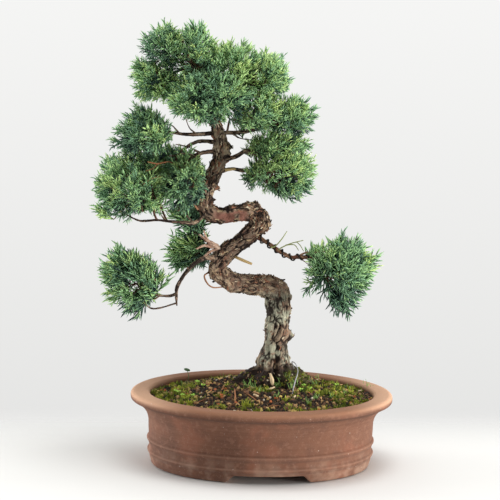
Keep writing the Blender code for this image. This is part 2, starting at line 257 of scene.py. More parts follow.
# %% Node helpers
def node(tree, kind, inputs=None, **settings):
    """Add a node, with its settings and with values or links on its inputs."""
    made = tree.nodes.new(kind)
    for key, value in settings.items():
        setattr(made, key, value)
    for key, value in (inputs or {}).items():
        if isinstance(value, bpy.types.NodeSocket):
            tree.links.new(value, made.inputs[key])
        else:
            made.inputs[key].default_value = value
    return made


def maths(tree, operation, *values):
    """One sum on numbers or on what other nodes put out."""
    return node(tree, "ShaderNodeMath", dict(enumerate(values)), operation=operation).outputs[0]


def times(tree, value, factor):
    """A mask made weaker or stronger, by a number or by another mask."""
    return maths(tree, "MULTIPLY", value, factor)


def ramp(tree, value, low, high, steps="SMOOTHSTEP"):
    """0 below low, 1 above high."""
    return node(tree, "ShaderNodeMapRange", {"Value": value, "From Min": low, "From Max": high},
                interpolation_type=steps).outputs[0]


def mixed(tree, amount, low, high):
    """A colour between two others, or one laid over the other."""
    made = node(tree, "ShaderNodeMix", {0: amount}, data_type="RGBA")
    for socket, value in ((made.inputs[6], low), (made.inputs[7], high)):
        if isinstance(value, bpy.types.NodeSocket):
            tree.links.new(value, socket)
        else:
            socket.default_value = (*value, 1.0)
    return made.outputs[2]


def place_of(tree):
    """The place of a point of the object, in metres."""
    return node(tree, "ShaderNodeTexCoord").outputs["Object"]


def along(tree, place, axis):
    """One of the three numbers of a place."""
    return node(tree, "ShaderNodeSeparateXYZ", {"Vector": place}).outputs[axis]


def finish_of(name, colour, roughness=0.8, **shader_values):
    """A material with plain values on its shader; returns its tree and shader as well."""
    made = bpy.data.materials.new(name)
    made.use_nodes = True
    shader = made.node_tree.nodes["Principled BSDF"]
    shader.inputs["Base Color"].default_value = (*colour, 1.0)
    shader.inputs["Roughness"].default_value = roughness
    shader.inputs["Specular IOR Level"].default_value = 0.22
    for key, value in shader_values.items():
        shader.inputs[key.replace("_", " ")].default_value = value
    return made, made.node_tree, shader


def plain_finish(name, colour, roughness=0.85, **shader_values):
    return finish_of(name, colour, roughness, **shader_values)[0]


# %% [markdown]
# ## Light and floor
#
# A light tent is pale on every side but open at the front, so things in it are lit evenly,
# with their outer edges brighter than the side that faces the lens.  The sky does this work:
# it is pale all round and darker only in front, above the horizon.  A low soft lamp on the
# right and a weaker one behind on the left strengthen the edges, and one above catches the
# tops of the foliage.  The floor is a sheet of paper that thins out all round, so it has no
# hard edge from any side, and its front is painted a little paler: painted light that stands
# in for the brighter floor nearest the lens.

# %% Light
PLANT_MIDDLE = Vector((0.0, 0.0, 0.15))


def soft_lamp(name, place, size, watts, tint):
    """A wide lamp at a place in metres, turned to the middle of the plant."""
    lamp = bpy.data.lights.new(name, "AREA")
    lamp.shape = "RECTANGLE"
    lamp.size, lamp.size_y, lamp.energy, lamp.color = *size, watts, tint
    shown = in_scene(name, lamp)
    shown.location = place
    shown.rotation_euler = (PLANT_MIDDLE - Vector(place)).to_track_quat("-Z", "Y").to_euler()


soft_lamp("lamp_right", (1.5, -0.6, 0.07), (0.6, 0.13), 34.0, (1.0, 0.97, 0.92))
soft_lamp("lamp_left", (-1.4, 0.5, 0.1), (0.5, 0.18), 20.0, (0.99, 0.99, 0.98))
soft_lamp("lamp_top", (0.1, -0.3, 1.5), (0.8, 0.8), 13.0, (1.0, 1.0, 0.99))
TENT_FOOT, TENT_PALE, TENT_OPEN = (0.79, 0.79, 0.78), (0.93, 0.93, 0.92), (0.1, 0.1, 0.105)


def light_tent():
    """A pale sky with a darker opening in front and above the horizon."""
    sky = bpy.data.worlds.new("light_tent")
    sky.use_nodes = True
    tree = sky.node_tree
    way = node(tree, "ShaderNodeTexCoord").outputs["Generated"]
    ahead, up = (along(tree, way, axis) for axis in (1, 2))
    opening = times(tree, ramp(tree, ahead, -0.2, -0.7), ramp(tree, up, 0.03, 0.16))
    wall = mixed(tree, ramp(tree, up, -0.24, 0.02, "LINEAR"), TENT_FOOT, TENT_PALE)
    tree.links.new(mixed(tree, opening, wall, TENT_OPEN),
                   tree.nodes["Background"].inputs["Color"])
    bpy.context.scene.world = sky


light_tent()
bpy.context.scene.view_settings.view_transform = "Standard"
print("lamps:", len(bpy.data.lights))

# %% Floor
PAPER, PAPER_PAINTED_LIGHT_FRONT = (0.77, 0.765, 0.75), (0.89, 0.88, 0.87)
SHEET, SHEET_BACK, UNDER = 2500, 190, -0.2      # half size, back edge and height


def studio_paper():
    """Pale paper that thins out towards its far edge, so the floor has no hard end."""
    made, tree, paper = finish_of("studio_paper", PAPER, 0.9, Specular_IOR_Level=0.5)
    place = place_of(tree)
    back = along(tree, place, 1)
    # painted light: the front of the paper is painted paler than the rest
    tree.links.new(mixed(tree, ramp(tree, back, -0.05, -0.25, "LINEAR"), PAPER, PAPER_PAINTED_LIGHT_FRONT),
                   paper.inputs["Base Color"])
    away = node(tree, "ShaderNodeVectorMath", {0: place}, operation="LENGTH").outputs["Value"]
    gone = maths(tree, "MAXIMUM", ramp(tree, back, 0.03, 0.185), ramp(tree, away, 0.3, 1.0))
    clear = node(tree, "ShaderNodeBsdfTransparent").outputs[0]
    sheet = node(tree, "ShaderNodeMixShader", {0: gone, 1: paper.outputs[0], 2: clear})
    tree.links.new(sheet.outputs[0], tree.nodes["Material Output"].inputs["Surface"])
    return made


floor = mesh_object("studio_floor", ((-SHEET, -SHEET, UNDER), (SHEET, -SHEET, UNDER),
                                     (SHEET, SHEET_BACK, UNDER), (-SHEET, SHEET_BACK, UNDER)),
                    ((0, 1, 2, 3),))
floor.data.materials.append(studio_paper())
print("floor:", [round(v, 2) for v in floor.dimensions])

# %% [markdown]
# ## Effects shared by the finishes
#
# Clay, soil and bark show the same few effects at different sizes: cloudy patches, scattered
# specks and drawn-out streaks.  Each effect is one node group that only puts out a mask from 0
# to 1, and every finish sets its own sizes.  Sizes are given in metres, as the coordinates are.

# %% The shared effects
def effect(name, sizes, build):
    """A shader group with named number inputs and one mask."""
    tree = bpy.data.node_groups.new(name, "ShaderNodeTree")
    for label, value in sizes.items():
        socket = tree.interface.new_socket(label, in_out="INPUT", socket_type="NodeSocketFloat")
        socket.default_value = value
    tree.interface.new_socket("Mask", in_out="OUTPUT", socket_type="NodeSocketFloat")
    given = tree.nodes.new("NodeGroupInput").outputs
    node(tree, "NodeGroupOutput", {"Mask": build(tree, given, place_of(tree))})
    return tree


def clouds(tree, given, place):
    """Patches about one size across; low and high set where they begin and are full."""
    field = node(tree, "ShaderNodeTexNoise",
                 {"Vector": place, "Scale": maths(tree, "DIVIDE", 1.0, given["Size"]),
                  "Detail": given["Detail"]})
    return ramp(tree, field.outputs["Fac"], given["Low"], given["High"])


def specks(tree, given, place):
    """Small round marks; share says how many of the cells hold one."""
    field = node(tree, "ShaderNodeTexVoronoi",
                 {"Vector": place, "Scale": maths(tree, "DIVIDE", 1.0, given["Apart"])})
    near = ramp(tree, field.outputs["Distance"], given["Width"], 0.0)
    pick = node(tree, "ShaderNodeSeparateColor", {"Color": field.outputs["Color"]})
    return times(tree, near, maths(tree, "LESS_THAN", pick.outputs[0], given["Share"]))


def streaks(tree, given, place):
    """Level lines drawn round a turned form, as a thrower's fingers leave them."""
    part = [maths(tree, "DIVIDE", along(tree, place, axis), given[size])
            for axis, size in enumerate(("Length", "Length", "Size"))]
    drawn = node(tree, "ShaderNodeCombineXYZ", dict(enumerate(part))).outputs[0]
    return node(tree, "ShaderNodeTexNoise",
                {"Vector": drawn, "Scale": 1.0, "Detail": 2.0}).outputs["Fac"]


CLOUDS = effect("clouds", {"Size": 0.02, "Detail": 4.0, "Low": 0.35, "High": 0.65}, clouds)
SPECKS = effect("specks", {"Apart": 0.004, "Width": 0.25, "Share": 0.2}, specks)
STREAKS = effect("streaks", {"Size": 0.001, "Length": 0.2}, streaks)


def mask(tree, group, **sizes):
    """One of the shared effects, placed in a material with its own sizes."""
    return node(tree, "ShaderNodeGroup", sizes, node_tree=group).outputs["Mask"]


def layered(tree, colour, layers):
    """Lay marks over a colour, each an effect, its sizes, its strength and its own colour."""
    for group, sizes, strength, tone in layers:
        colour = mixed(tree, times(tree, mask(tree, group, **sizes), strength), colour, tone)
    return colour


def bump(tree, shader, height, depth):
    """Let a mask stand in relief; depth is in metres."""
    made = node(tree, "ShaderNodeBump", {"Height": height, "Distance": depth, "Strength": 1.0})
    tree.links.new(made.outputs["Normal"], shader.inputs["Normal"])


print("effects:", [group.name for group in (CLOUDS, SPECKS, STREAKS)])

# %% [markdown]
# ## Finish of the pot
#
# The pot is unglazed stoneware, a brown-red clay with iron in it.  It is paler and pinker on
# the rim, which is rubbed smoother, and the rim's two ends carry a painted highlight that makes
# them paler still.  Near the foot it is greyer where salts have come through, and painted paler
# there too, standing in for light thrown up from the floor.  Painted shade, partly dirt, lies in
# a band under each raised line, a painted shadow lies under the lip, and a painted highlight
# runs along each raised line.  Level lines from the wheel and pale grains of grog break up the
# colour, so nothing on it is one flat tone.

# %% Clay
CLAY_PATCHES = (
    (CLOUDS, {"Size": 0.028, "Low": 0.52, "High": 0.66}, 0.5, (0.26, 0.094, 0.055)),
    (CLOUDS, {"Size": 0.009, "Low": 0.45, "High": 0.7}, 0.6, (0.1, 0.048, 0.034)),
    (CLOUDS, {"Size": 0.0032, "Low": 0.5, "High": 0.7}, 0.5, (0.25, 0.125, 0.082)),
    (STREAKS, {"Size": 0.0016, "Length": 0.3}, 0.5, (0.25, 0.127, 0.085)))
GROG = (
    (SPECKS, {"Apart": 0.0011, "Width": 0.34, "Share": 0.3}, 0.35, (0.45, 0.33, 0.26)),
    (SPECKS, {"Apart": 0.0062, "Width": 0.1, "Share": 0.5}, 0.8, (0.62, 0.55, 0.48)),
    (SPECKS, {"Apart": 0.0031, "Width": 0.13, "Share": 0.35}, 0.7, (0.06, 0.035, 0.03)))
# a level band: where it starts and is full, where it ends and is last full, strength, colour;
# painted shade, partly dirt, under each raised line, a painted highlight along each raised
# line, and a painted shadow under the lip
GROOVE_SHADE_AND_DIRT, BEAD_HIGHLIGHT = (0.5, (0.12, 0.062, 0.045)), (0.3, (0.36, 0.2, 0.14))
SHADE_AND_HIGHLIGHT_BANDS = (
    (0.0162, 0.0178, 0.0201, 0.0178, *GROOVE_SHADE_AND_DIRT), (0.0197, 0.0209, 0.0223, 0.0211, *BEAD_HIGHLIGHT),
    (0.0067, 0.0083, 0.0106, 0.0083, *GROOVE_SHADE_AND_DIRT), (0.0102, 0.0114, 0.0128, 0.0116, *BEAD_HIGHLIGHT),
    (0.0488, 0.0515, 0.0542, 0.052, 0.6, (0.07, 0.035, 0.024)))


def clay_finish():
    made, tree, shader = finish_of("fired_clay", (0.2, 0.1, 0.07), 0.78)
    base = mask(tree, CLOUDS, Size=0.045, Detail=3.0, Low=0.35, High=0.65)
    colour = layered(tree, mixed(tree, base, (0.092, 0.04, 0.025), (0.162, 0.071, 0.042)),
                     CLAY_PATCHES)
    place = place_of(tree)
    high = along(tree, place, 2)
    # painted shade under the raised lines and the lip, painted highlight along the raised lines
    for start, full, end, last, strength, tone in SHADE_AND_HIGHLIGHT_BANDS:
        band = times(tree, ramp(tree, high, start, full), ramp(tree, high, end, last))
        colour = mixed(tree, times(tree, band, strength), colour, tone)
    rim = times(tree, ramp(tree, high, 0.0535, 0.0582), 0.62)
    colour = mixed(tree, rim, colour, (0.33, 0.158, 0.086))
    # painted highlight: the rim is painted much paler towards its two ends
    across = maths(tree, "ABSOLUTE", maths(tree, "SUBTRACT", along(tree, place, 0),
                                           SHIFT[0] * MM))
    ends = times(tree, ramp(tree, across, 0.055, 0.103), rim)
    colour = mixed(tree, ends, colour, (0.8, 0.5, 0.33))
    # paler and greyer towards the foot: salt bloom, and painted light standing in for light from
    # the floor
    salt_bloom_and_bounce_light = times(tree, ramp(tree, high, 0.024, 0.003),
                  mask(tree, CLOUDS, Size=0.012, Low=0.4, High=0.72))
    colour = mixed(tree, times(tree, salt_bloom_and_bounce_light, 0.5), colour, (0.42, 0.29, 0.215))
    tree.links.new(layered(tree, colour, GROG), shader.inputs["Base Color"])
    grain = mask(tree, CLOUDS, Size=0.0007, Detail=3.0, Low=0.2, High=0.8)
    lines = mask(tree, STREAKS, Size=0.0011, Length=0.25)
    bump(tree, shader, maths(tree, "ADD", grain, lines), 0.00014)
    rubbed = mixed(tree, rim, (0.84, 0.84, 0.84), (0.7, 0.7, 0.7))
    tree.links.new(rubbed, shader.inputs["Roughness"])
    print("clay:", len(tree.nodes), "nodes")
    return made


CLAY = clay_finish()

# %% [markdown]
# ## The pot
#
# An oval pot is thrown or pressed to one outline all round, so it is made as one outline of
# heights and insets, laid round an ellipse.  The outline is smoothed a little, because clay
# keeps no sharp edge.  The cut-outs in the foot are made by lifting the foot's points to its
# top where the cut is, and extra columns of points stand close together at the cut's slanted
# ends.  The two drain holes are filled round in the floor.

# %% Outline of the pot
LENGTH, WIDTH, HEIGHT = 208.0, 161.4, 58.3
FOOT_HEIGHT, FOOT_RING = 6.5, (29.8, 17.8)
CUT_HALF, CUT_TOP_HALF = 33.8, 25.0
FLOOR, DRAIN_X, DRAIN_RADIUS = 11.0, 36.0, 6.5
COVE, COVE_INSET, UNDER_LIP = (30.0, 52.5), 14.6, 2.4
WALL, WALL_FOOT, WALL_INSET = 6.0, 4.0, 15.8    # thickness, and the foot of the outer wall


def wall_inset(z):
    """The wall leans out a little from the foot to the cove."""
    return WALL_INSET + (COVE_INSET - WALL_INSET) * (z - WALL_FOOT) / (COVE[0] - WALL_FOOT)


def beads(z):
    """The two raised lines round the wall, each with a short upper and a long lower slope."""
    return sum(1.75 * math.exp(-((z - middle) / (1.0 if z > middle else 2.7)) ** 2)
               for middle in (11.4, 20.9))


def soften(rows, spacing, passes):
    """An outline with points evenly apart, smoothed so that its corners round off."""
    rows = np.array(rows, float)
    run = np.r_[0, np.cumsum(np.linalg.norm(np.diff(rows, axis=0), axis=1))]
    even = np.linspace(0, run[-1], int(run[-1] / spacing))
    rows = np.stack([np.interp(even, run, rows[:, i]) for i in (0, 1)], 1)
    for _ in range(passes):
        rows[1:-1] = (rows[:-2] + 2 * rows[1:-1] + rows[2:]) / 4
    return rows


def pot_outline():
    """Height and inset from under the pot, up its outside and down its inside."""
    rows = [(FOOT_HEIGHT, FOOT_RING[0]), (0.0, FOOT_RING[0]), (0.0, FOOT_RING[1] + 0.8),
            (0.8, FOOT_RING[1] - 0.7)]
    rows += [(z, wall_inset(z) + 0.9 * (1 - ease(z, 1.0, 7.0)) - beads(z))
             for z in np.arange(2.0, COVE[0], 0.4)]
    rows += [(COVE[0] + (COVE[1] - 0.8 - COVE[0]) * part,
              UNDER_LIP + (COVE_INSET - UNDER_LIP) * (1 - part ** 3))
             for part in np.linspace(0, 1, 20)]
    rows += [(COVE[1] - 0.4, 0.8), (COVE[1] + 0.5, 0.1),
             (HEIGHT - 2.6, 0.0), (HEIGHT - 1.0, 0.5), (HEIGHT - 0.1, 2.4), (HEIGHT, 5.0),
             (HEIGHT, 13.2), (HEIGHT - 1.4, 14.9), (COVE[0], wall_inset(COVE[0]) + WALL),
             (FLOOR + 5.0, wall_inset(FLOOR) + WALL), (FLOOR, wall_inset(FLOOR) + 11.0)]
    return soften(rows, 0.55, 2)


def oval(turns, z, inset):
    """Points of the pot's ellipse, made smaller by an inset."""
    return np.stack(((LENGTH / 2 - inset) * np.cos(turns), (WIDTH / 2 - inset) * np.sin(turns),
                     np.broadcast_to(z, np.shape(turns))), -1)


def pot_turns():
    """Bearings round the pot, closer together at the ends of the foot's cut-outs."""
    edge = [math.acos(x / (LENGTH / 2 - FOOT_RING[1])) for x in (CUT_HALF + 4, CUT_TOP_HALF - 4)]
    fine = np.linspace(*edge, 16)
    return np.sort(np.concatenate((np.linspace(0, WHOLE_TURN, 170, endpoint=False), fine,
                                   math.pi - fine, math.pi + fine, WHOLE_TURN - fine)))


print("pot:", len(pot_outline()), "points up its outline,", len(pot_turns()), "round it")

# %% The pot's body
def loop_edges(bm, ring, make):
    """The edges round a closed ring of corners, found or newly made."""
    pairs = zip(ring, ring[1:] + ring[:1])
    return [bm.edges.new(pair) if make else bm.edges.get(pair) for pair in pairs]


def close_with_drains(bm, columns):
    """Fill the foot and the floor round the two drain holes, and give the holes walls."""
    circle = np.linspace(0, WHOLE_TURN, 24, endpoint=False)
    levels = []
    for loop, z in ((bm.verts[:columns], FOOT_HEIGHT), (bm.verts[-columns:], FLOOR)):
        edges = loop_edges(bm, loop, False)
        holes = [[bm.verts.new(to_world((x + DRAIN_RADIUS * math.cos(t),
                                         DRAIN_RADIUS * math.sin(t), z))) for t in circle]
                 for x in (-DRAIN_X, DRAIN_X)]
        for ring in holes:
            edges += loop_edges(bm, ring, True)
        bmesh.ops.triangle_fill(bm, use_beauty=True, edges=edges)
        levels.append(holes)
    for low, high in zip(*levels):
        for i in range(len(low)):
            j = (i + 1) % len(low)
            bm.faces.new((low[i], low[j], high[j], high[i]))


def make_pot():
    rows, turns = pot_outline(), pot_turns()
    points = np.stack([oval(turns, z, inset) for z, inset in rows])
    away = points - (0, 0, 30)
    lumps = rough(points, 38, 2, 5) * 0.22 + noise(points * (1, 1, 3), 9, 8) * 0.05
    points += lumps[..., None] * away / np.linalg.norm(away, axis=-1, keepdims=True)
    points = np.clip(points, (-LENGTH / 2, -WIDTH / 2, 0), (LENGTH / 2, WIDTH / 2, HEIGHT))
    cut = 1 - ease(np.abs(points[..., 0]), CUT_TOP_HALF, CUT_HALF)
    below = np.clip(1 - points[..., 2] / FOOT_HEIGHT, 0, 1)
    points[..., 2] += cut * below * (FOOT_HEIGHT - 0.05)
    pot = mesh_object("fired_pot", points.reshape(-1, 3), grid_faces(*points.shape[:2]))
    with_corners(pot, close_with_drains, len(turns))
    pot.data.set_sharp_from_angle(angle=math.radians(50))
    finished(pot, "clay", "pot", finish=CLAY)


make_pot()

# %% [markdown]
# ## Finish of the soil
#
# Grit, moss and leaves come in great numbers and each is tiny, so their colours are plain and
# the variety comes from dealing several tones out among them.  The soil under them is one
# larger surface, so it carries a mottled finish of its own.

# %% Soil and grit finishes
SOIL_MARKS = (
    (CLOUDS, {"Size": 0.02, "Low": 0.5, "High": 0.7}, 0.5, (0.075, 0.085, 0.02)),
    (SPECKS, {"Apart": 0.0016, "Width": 0.4, "Share": 0.16}, 1.0, (0.26, 0.17, 0.1)))


def soil_finish():
    made, tree, shader = finish_of("damp_soil", (0.04, 0.03, 0.02), 0.95)
    base = mask(tree, CLOUDS, Size=0.004, Detail=5.0, Low=0.4, High=0.68)
    colour = mixed(tree, base, (0.028, 0.02, 0.014), (0.085, 0.058, 0.038))
    tree.links.new(layered(tree, colour, SOIL_MARKS), shader.inputs["Base Color"])
    bump(tree, shader, mask(tree, CLOUDS, Size=0.0016, Detail=4.0, Low=0.2, High=0.8), 0.0006)
    return made


GRIT = {"dark": (0.03, 0.021, 0.016), "brown": (0.15, 0.078, 0.044), "tan": (0.44, 0.27, 0.12),
        "rust": (0.5, 0.15, 0.055), "ochre": (0.52, 0.38, 0.12), "pale": (0.6, 0.52, 0.4)}
GRIT = {name: plain_finish("grit_" + name, colour) for name, colour in GRIT.items()}

# %% [markdown]
# ## Soil
#
# The mix is heaped a little under the trunk and slopes to the wall all round, a few
# millimetres under the rim.  It is one closed body: a sheet of rings from the middle of the
# mound out to the wall, then down the wall to the floor.  Its top is roughened with noise, and
# every point carries numbers for the scattering that follows: whether it is open ground, and
# how mossy or gritty it is.  The moss is thickest towards the front and the right.

# %% Soil body
SOIL_EDGE, SOIL_TOP = 54.0, 62.0
MOUND = (11.0, 12.0, 37.0, 27.0)        # middle of the flat top and its half sizes
SOIL_DEPTHS = (FLOOR + 0.3, 16.0, 23.0, 30.0, 42.0)


def soil_inset(z):
    """Inset of the inner wall of the pot at a height, with the gap the soil keeps."""
    return np.interp(z, (FLOOR + 5, COVE[0], HEIGHT - 1.4),
                     (wall_inset(FLOOR) + 6.3, wall_inset(COVE[0]) + 6.3, 15.2))


def soil_top(turns):
    """Rings over the open ground, from the wall up to the middle of the mound."""
    edge = oval(turns, 0.0, soil_inset(SOIL_EDGE))
    inner = np.stack((MOUND[0] + MOUND[2] * np.cos(turns), MOUND[1] + MOUND[3] * np.sin(turns),
                      np.zeros(len(turns))), -1)
    rings = []
    for part in np.linspace(0, 1, 30):
        ring = edge + (inner - edge) * part
        ring[:, 2] = SOIL_EDGE + (SOIL_TOP - SOIL_EDGE) * ease(part, 0, 1)
        rings.append(ring)
    middle = inner.mean(0)
    rings += [(inner + (middle - inner) * part) + (0, 0, SOIL_TOP)
              for part in np.linspace(0, 1, 16)[1:-1]]
    top = np.array(rings)
    lumps = rough(top, 16, 2, 3) * 0.8 + rough(top, 3.4, 2, 9) * 0.45
    hold = ease(np.arange(len(top)), 0, 3)[:, None]
    top[..., 2] += (lumps * hold - 0.3)
    return top, middle


def close_soil(bm, columns):
    """A fan round the middle of the mound and one flat face underneath."""
    rim = bm.verts[-1 - columns:-1]
    for a, b in zip(rim, rim[1:] + rim[:1]):
        bm.faces.new((a, b, bm.verts[-1]))
    bm.faces.new(bm.verts[:columns][::-1])


def make_soil():
    turns = np.linspace(0, WHOLE_TURN, 200, endpoint=False)
    top, middle = soil_top(turns)
    below = [oval(turns, z, soil_inset(z)) for z in SOIL_DEPTHS]
    points = np.concatenate((below, top))
    rows, columns = points.shape[:2]
    flat = np.concatenate((points.reshape(-1, 3), [[*middle[:2], SOIL_TOP]]))
    soil = mesh_object("soil_mound", flat, grid_faces(rows, columns))
    open_ground = np.append(np.repeat(np.arange(rows) > len(below), columns), True)
    x, y = flat[:, 0], flat[:, 1]
    moss = (noise(flat, 15, 41) + 0.5 * noise(flat, 6, 42) + 0.55 * ease(x - 0.5 * y, -10, 60)
            + 0.35 * ease(-x, 40, 75) - 0.05)
    keep_value(soil, "open_ground", open_ground)
    keep_value(soil, "mossy", open_ground * ease(moss, 0.05, 0.5))
    keep_value(soil, "gritty", open_ground * (1.0 - 0.6 * ease(moss, 0.1, 0.6)))
    with_corners(soil, close_soil, columns)
    return finished(soil, "soil", "soil", finish=soil_finish())


SOIL_BODY = make_soil()

# %% [markdown]
# ## Scattering with Geometry Nodes
#
# Loose grit, moss and flakes of bark lie where they fall or peel.  Geometry Nodes suit that:
# points are strewn over a surface, thicker where a stored number is high, and each point gets
# one of a few shapes, turned and sized at random from a fixed seed.  The copies are then made
# real, because a finished piece has to be one plain mesh.  Two trees share this: one lets
# grains fall any way up, the other lays flakes along the grain of the wood.

# %% The scattering trees
STREWN = {"Shapes": ("Collection", None), "Where": ("String", "open_ground"),
          "Per square metre": ("Float", 1e5), "Smallest": ("Float", 0.5),
          "Largest": ("Float", 1.5), "Lean": ("Float", 3.1), "Seed": ("Int", 1),
          "Finish": ("Material", None)}
RANDOM_SOCKETS = {"FLOAT_VECTOR": (0, 0), "FLOAT": (2, 1), "INT": (4, 2)}   # first in, out


def random_between(tree, low, high, seed, kind="FLOAT"):
    """A random number or vector for each point."""
    first, out = RANDOM_SOCKETS[kind]
    return node(tree, "FunctionNodeRandomValue", {first: low, first + 1: high, 8: seed},
                data_type=kind).outputs[out]


def kept_value(tree, name, kind="FLOAT"):
    """A number or a vector that the surface carries under a name."""
    return node(tree, "GeometryNodeInputNamedAttribute", {"Name": name},
                data_type=kind).outputs["Attribute"]


def fallen(tree, given, rotation):
    """Turned any way round, and tipped by up to the lean."""
    back = times(tree, given["Lean"], -1.0)
    low, high = (node(tree, "ShaderNodeCombineXYZ", {0: lean, 1: lean, 2: turn}).outputs[0]
                 for lean, turn in ((back, -math.pi), (given["Lean"], math.pi)))
    spin = random_between(tree, low, high, given["Seed"], "FLOAT_VECTOR")
    turned = node(tree, "FunctionNodeEulerToRotation", {"Euler": spin}).outputs[0]
    return node(tree, "FunctionNodeRotateRotation",
                {"Rotation": rotation, "Rotate By": turned}, rotation_space="LOCAL").outputs[0]


def grained(tree, given, rotation):
    """Laid along the grain of the wood, and off it by up to the lean."""
    back = times(tree, given["Lean"], -1.0)
    low, high = (node(tree, "ShaderNodeCombineXYZ", dict.fromkeys(range(3), lean)).outputs[0]
                 for lean in (back, given["Lean"]))
    stray = random_between(tree, low, high, given["Seed"], "FLOAT_VECTOR")
    grain = node(tree, "ShaderNodeVectorMath",
                 {0: kept_value(tree, "grain", "FLOAT_VECTOR"), 1: stray},
                 operation="ADD").outputs[0]
    return node(tree, "FunctionNodeAlignRotationToVector",
                {"Rotation": rotation, "Vector": grain}, axis="X", pivot_axis="Z").outputs[0]


def scatter_tree(name, turned):
    """A tree that strews copies of small shapes over a surface, each turned by a rule."""
    tree = bpy.data.node_groups.new(name, "GeometryNodeTree")
    for label, (kind, value) in {"Geometry": ("Geometry", None), **STREWN}.items():
        socket = tree.interface.new_socket(label, in_out="INPUT",
                                           socket_type="NodeSocket" + kind)
        if value is not None:
            socket.default_value = value
    tree.interface.new_socket("Geometry", in_out="OUTPUT", socket_type="NodeSocketGeometry")
    given = tree.nodes.new("NodeGroupInput").outputs
    density = times(tree, kept_value(tree, given["Where"]), given["Per square metre"])
    points = node(tree, "GeometryNodeDistributePointsOnFaces",
                  {"Mesh": given["Geometry"], "Density": density,
                   "Seed": given["Seed"]}).outputs
    shapes = node(tree, "GeometryNodeCollectionInfo",
                  {"Collection": given["Shapes"], "Separate Children": True,
                   "Reset Children": True}).outputs[0]
    placed = node(tree, "GeometryNodeInstanceOnPoints", {
        "Points": points["Points"], "Instance": shapes, "Pick Instance": True,
        "Instance Index": random_between(tree, 0, 99, given["Seed"], "INT"),
        "Rotation": turned(tree, given, points["Rotation"]),
        "Scale": random_between(tree, given["Smallest"], given["Largest"], given["Seed"])})
    real = node(tree, "GeometryNodeRealizeInstances", {"Geometry": placed.outputs[0]})
    done = node(tree, "GeometryNodeSetMaterial",
                {"Geometry": real.outputs[0], "Material": given["Finish"]})
    node(tree, "NodeGroupOutput", {"Geometry": done.outputs[0]})
    print(name + ":", len(tree.nodes), "nodes")
    return tree


FALLEN_TREE = scatter_tree("scatter_on_ground", fallen)
GRAIN_TREE = scatter_tree("flakes_along_grain", grained)

# %% [markdown]
# ## Strewing a piece
#
# A piece starts as a copy of the surface that it lies on.  The tree is put on it as a modifier,
# its inputs are set by the identifiers of their sockets, and the evaluated result is kept as a
# plain mesh, so that nothing live is left on the piece.

# %% Run a tree on a surface
def run_nodes(piece, tree, inputs):
    """Run a tree on a piece with its named inputs, and keep the result as a plain mesh."""
    modifier = piece.modifiers.new(tree.name, "NODES")
    modifier.node_group = tree
    for item in tree.interface.items_tree:
        if item.in_out == "INPUT" and item.name in inputs:
            modifier[item.identifier] = inputs[item.name]
    depsgraph = bpy.context.evaluated_depsgraph_get()
    mesh = bpy.data.meshes.new_from_object(piece.evaluated_get(depsgraph), depsgraph=depsgraph)
    piece.modifiers.remove(modifier)
    old, piece.data = piece.data, mesh
    mesh.name = piece.name
    bpy.data.meshes.remove(old)


def scatter(name, slot, seed, finish, shapes, where, density, sizes, lean=3.1, body=None,
            tree=FALLEN_TREE):
    """Strew shapes over the soil, or over another body, as one plain piece."""
    piece = in_scene(name, (body or SOIL_BODY).data.copy())
    run_nodes(piece, tree, {
        "Shapes": shapes, "Where": where, "Per square metre": density, "Smallest": sizes[0],
        "Largest": sizes[1], "Lean": lean, "Seed": seed, "Finish": finish})
    return finished(piece, slot)


def shape_set(name, shapes):
    """A hidden collection of small shapes for a scattering tree to pick from."""
    made = bpy.data.collections.new(name)
    for shape in shapes:
        bpy.context.scene.collection.objects.unlink(shape)
        made.objects.link(shape)
    print(name + ":", len(shapes), "shapes of up to", max(map(triangles, shapes)), "triangles")
    return made


# %% [markdown]
# ## Grit
#
# The mix is crushed fired clay, bark and grit, so a few angular lumps do for all of it.  Each
# is an icosahedron with its corners pushed in and out.  The dark and brown grains are many
# and small, the tan and rust ones fewer and larger, and the palest are single chips.  A few
# lumps of twice the size lie among them.

# %% Grit
def pebble(index):
    """An angular lump two millimetres across, once its scale is one."""
    rng = np.random.default_rng(index)
    bm = bmesh.new()
    bmesh.ops.create_icosphere(bm, subdivisions=1, radius=MM)
    for vert in bm.verts:
        vert.co *= rng.uniform(0.72, 1.15)
        vert.co.z *= 0.75
    mesh = bpy.data.meshes.new(f"pebble_{index}")
    bm.to_mesh(mesh)
    bm.free()
    return in_scene(mesh.name, mesh)


PEBBLES = shape_set("pebble_shapes", [pebble(i) for i in range(6)])
LUMPS = (1.7, 2.8)
for seed, (name, where, many, sizes) in enumerate((
        ("dark", "gritty", 130000.0, (0.6, 2.1)), ("brown", "gritty", 60000.0, (0.5, 2.2)),
        ("tan", "open_ground", 22000.0, (0.5, 2.4)), ("rust", "gritty", 6000.0, (0.6, 2.3)),
        ("ochre", "open_ground", 9000.0, (0.6, 2.3)),
        ("pale", "open_ground", 3000.0, (0.5, 2.1)),
        ("dark_lumps", "open_ground", 5000.0, LUMPS),
        ("brown_lumps", "open_ground", 4500.0, LUMPS),
        ("tan_lumps", "open_ground", 2600.0, LUMPS),
        ("ochre_lumps", "open_ground", 1600.0, LUMPS)), 1):
    scatter("grit_" + name, "soil", seed, GRIT[name.split("_")[0]], PEBBLES, where, many, sizes)

# %% [markdown]
# ## Paths of the limbs
#
# Trunk and boughs are tapering tubes along smooth curves.  A few stations give the middle and
# the thickness at the bends, and a Catmull-Rom curve runs through them, so the tube passes
# through every station.  The rings across the tube turn as little as they can from one to the
# next, or the bark would twist.

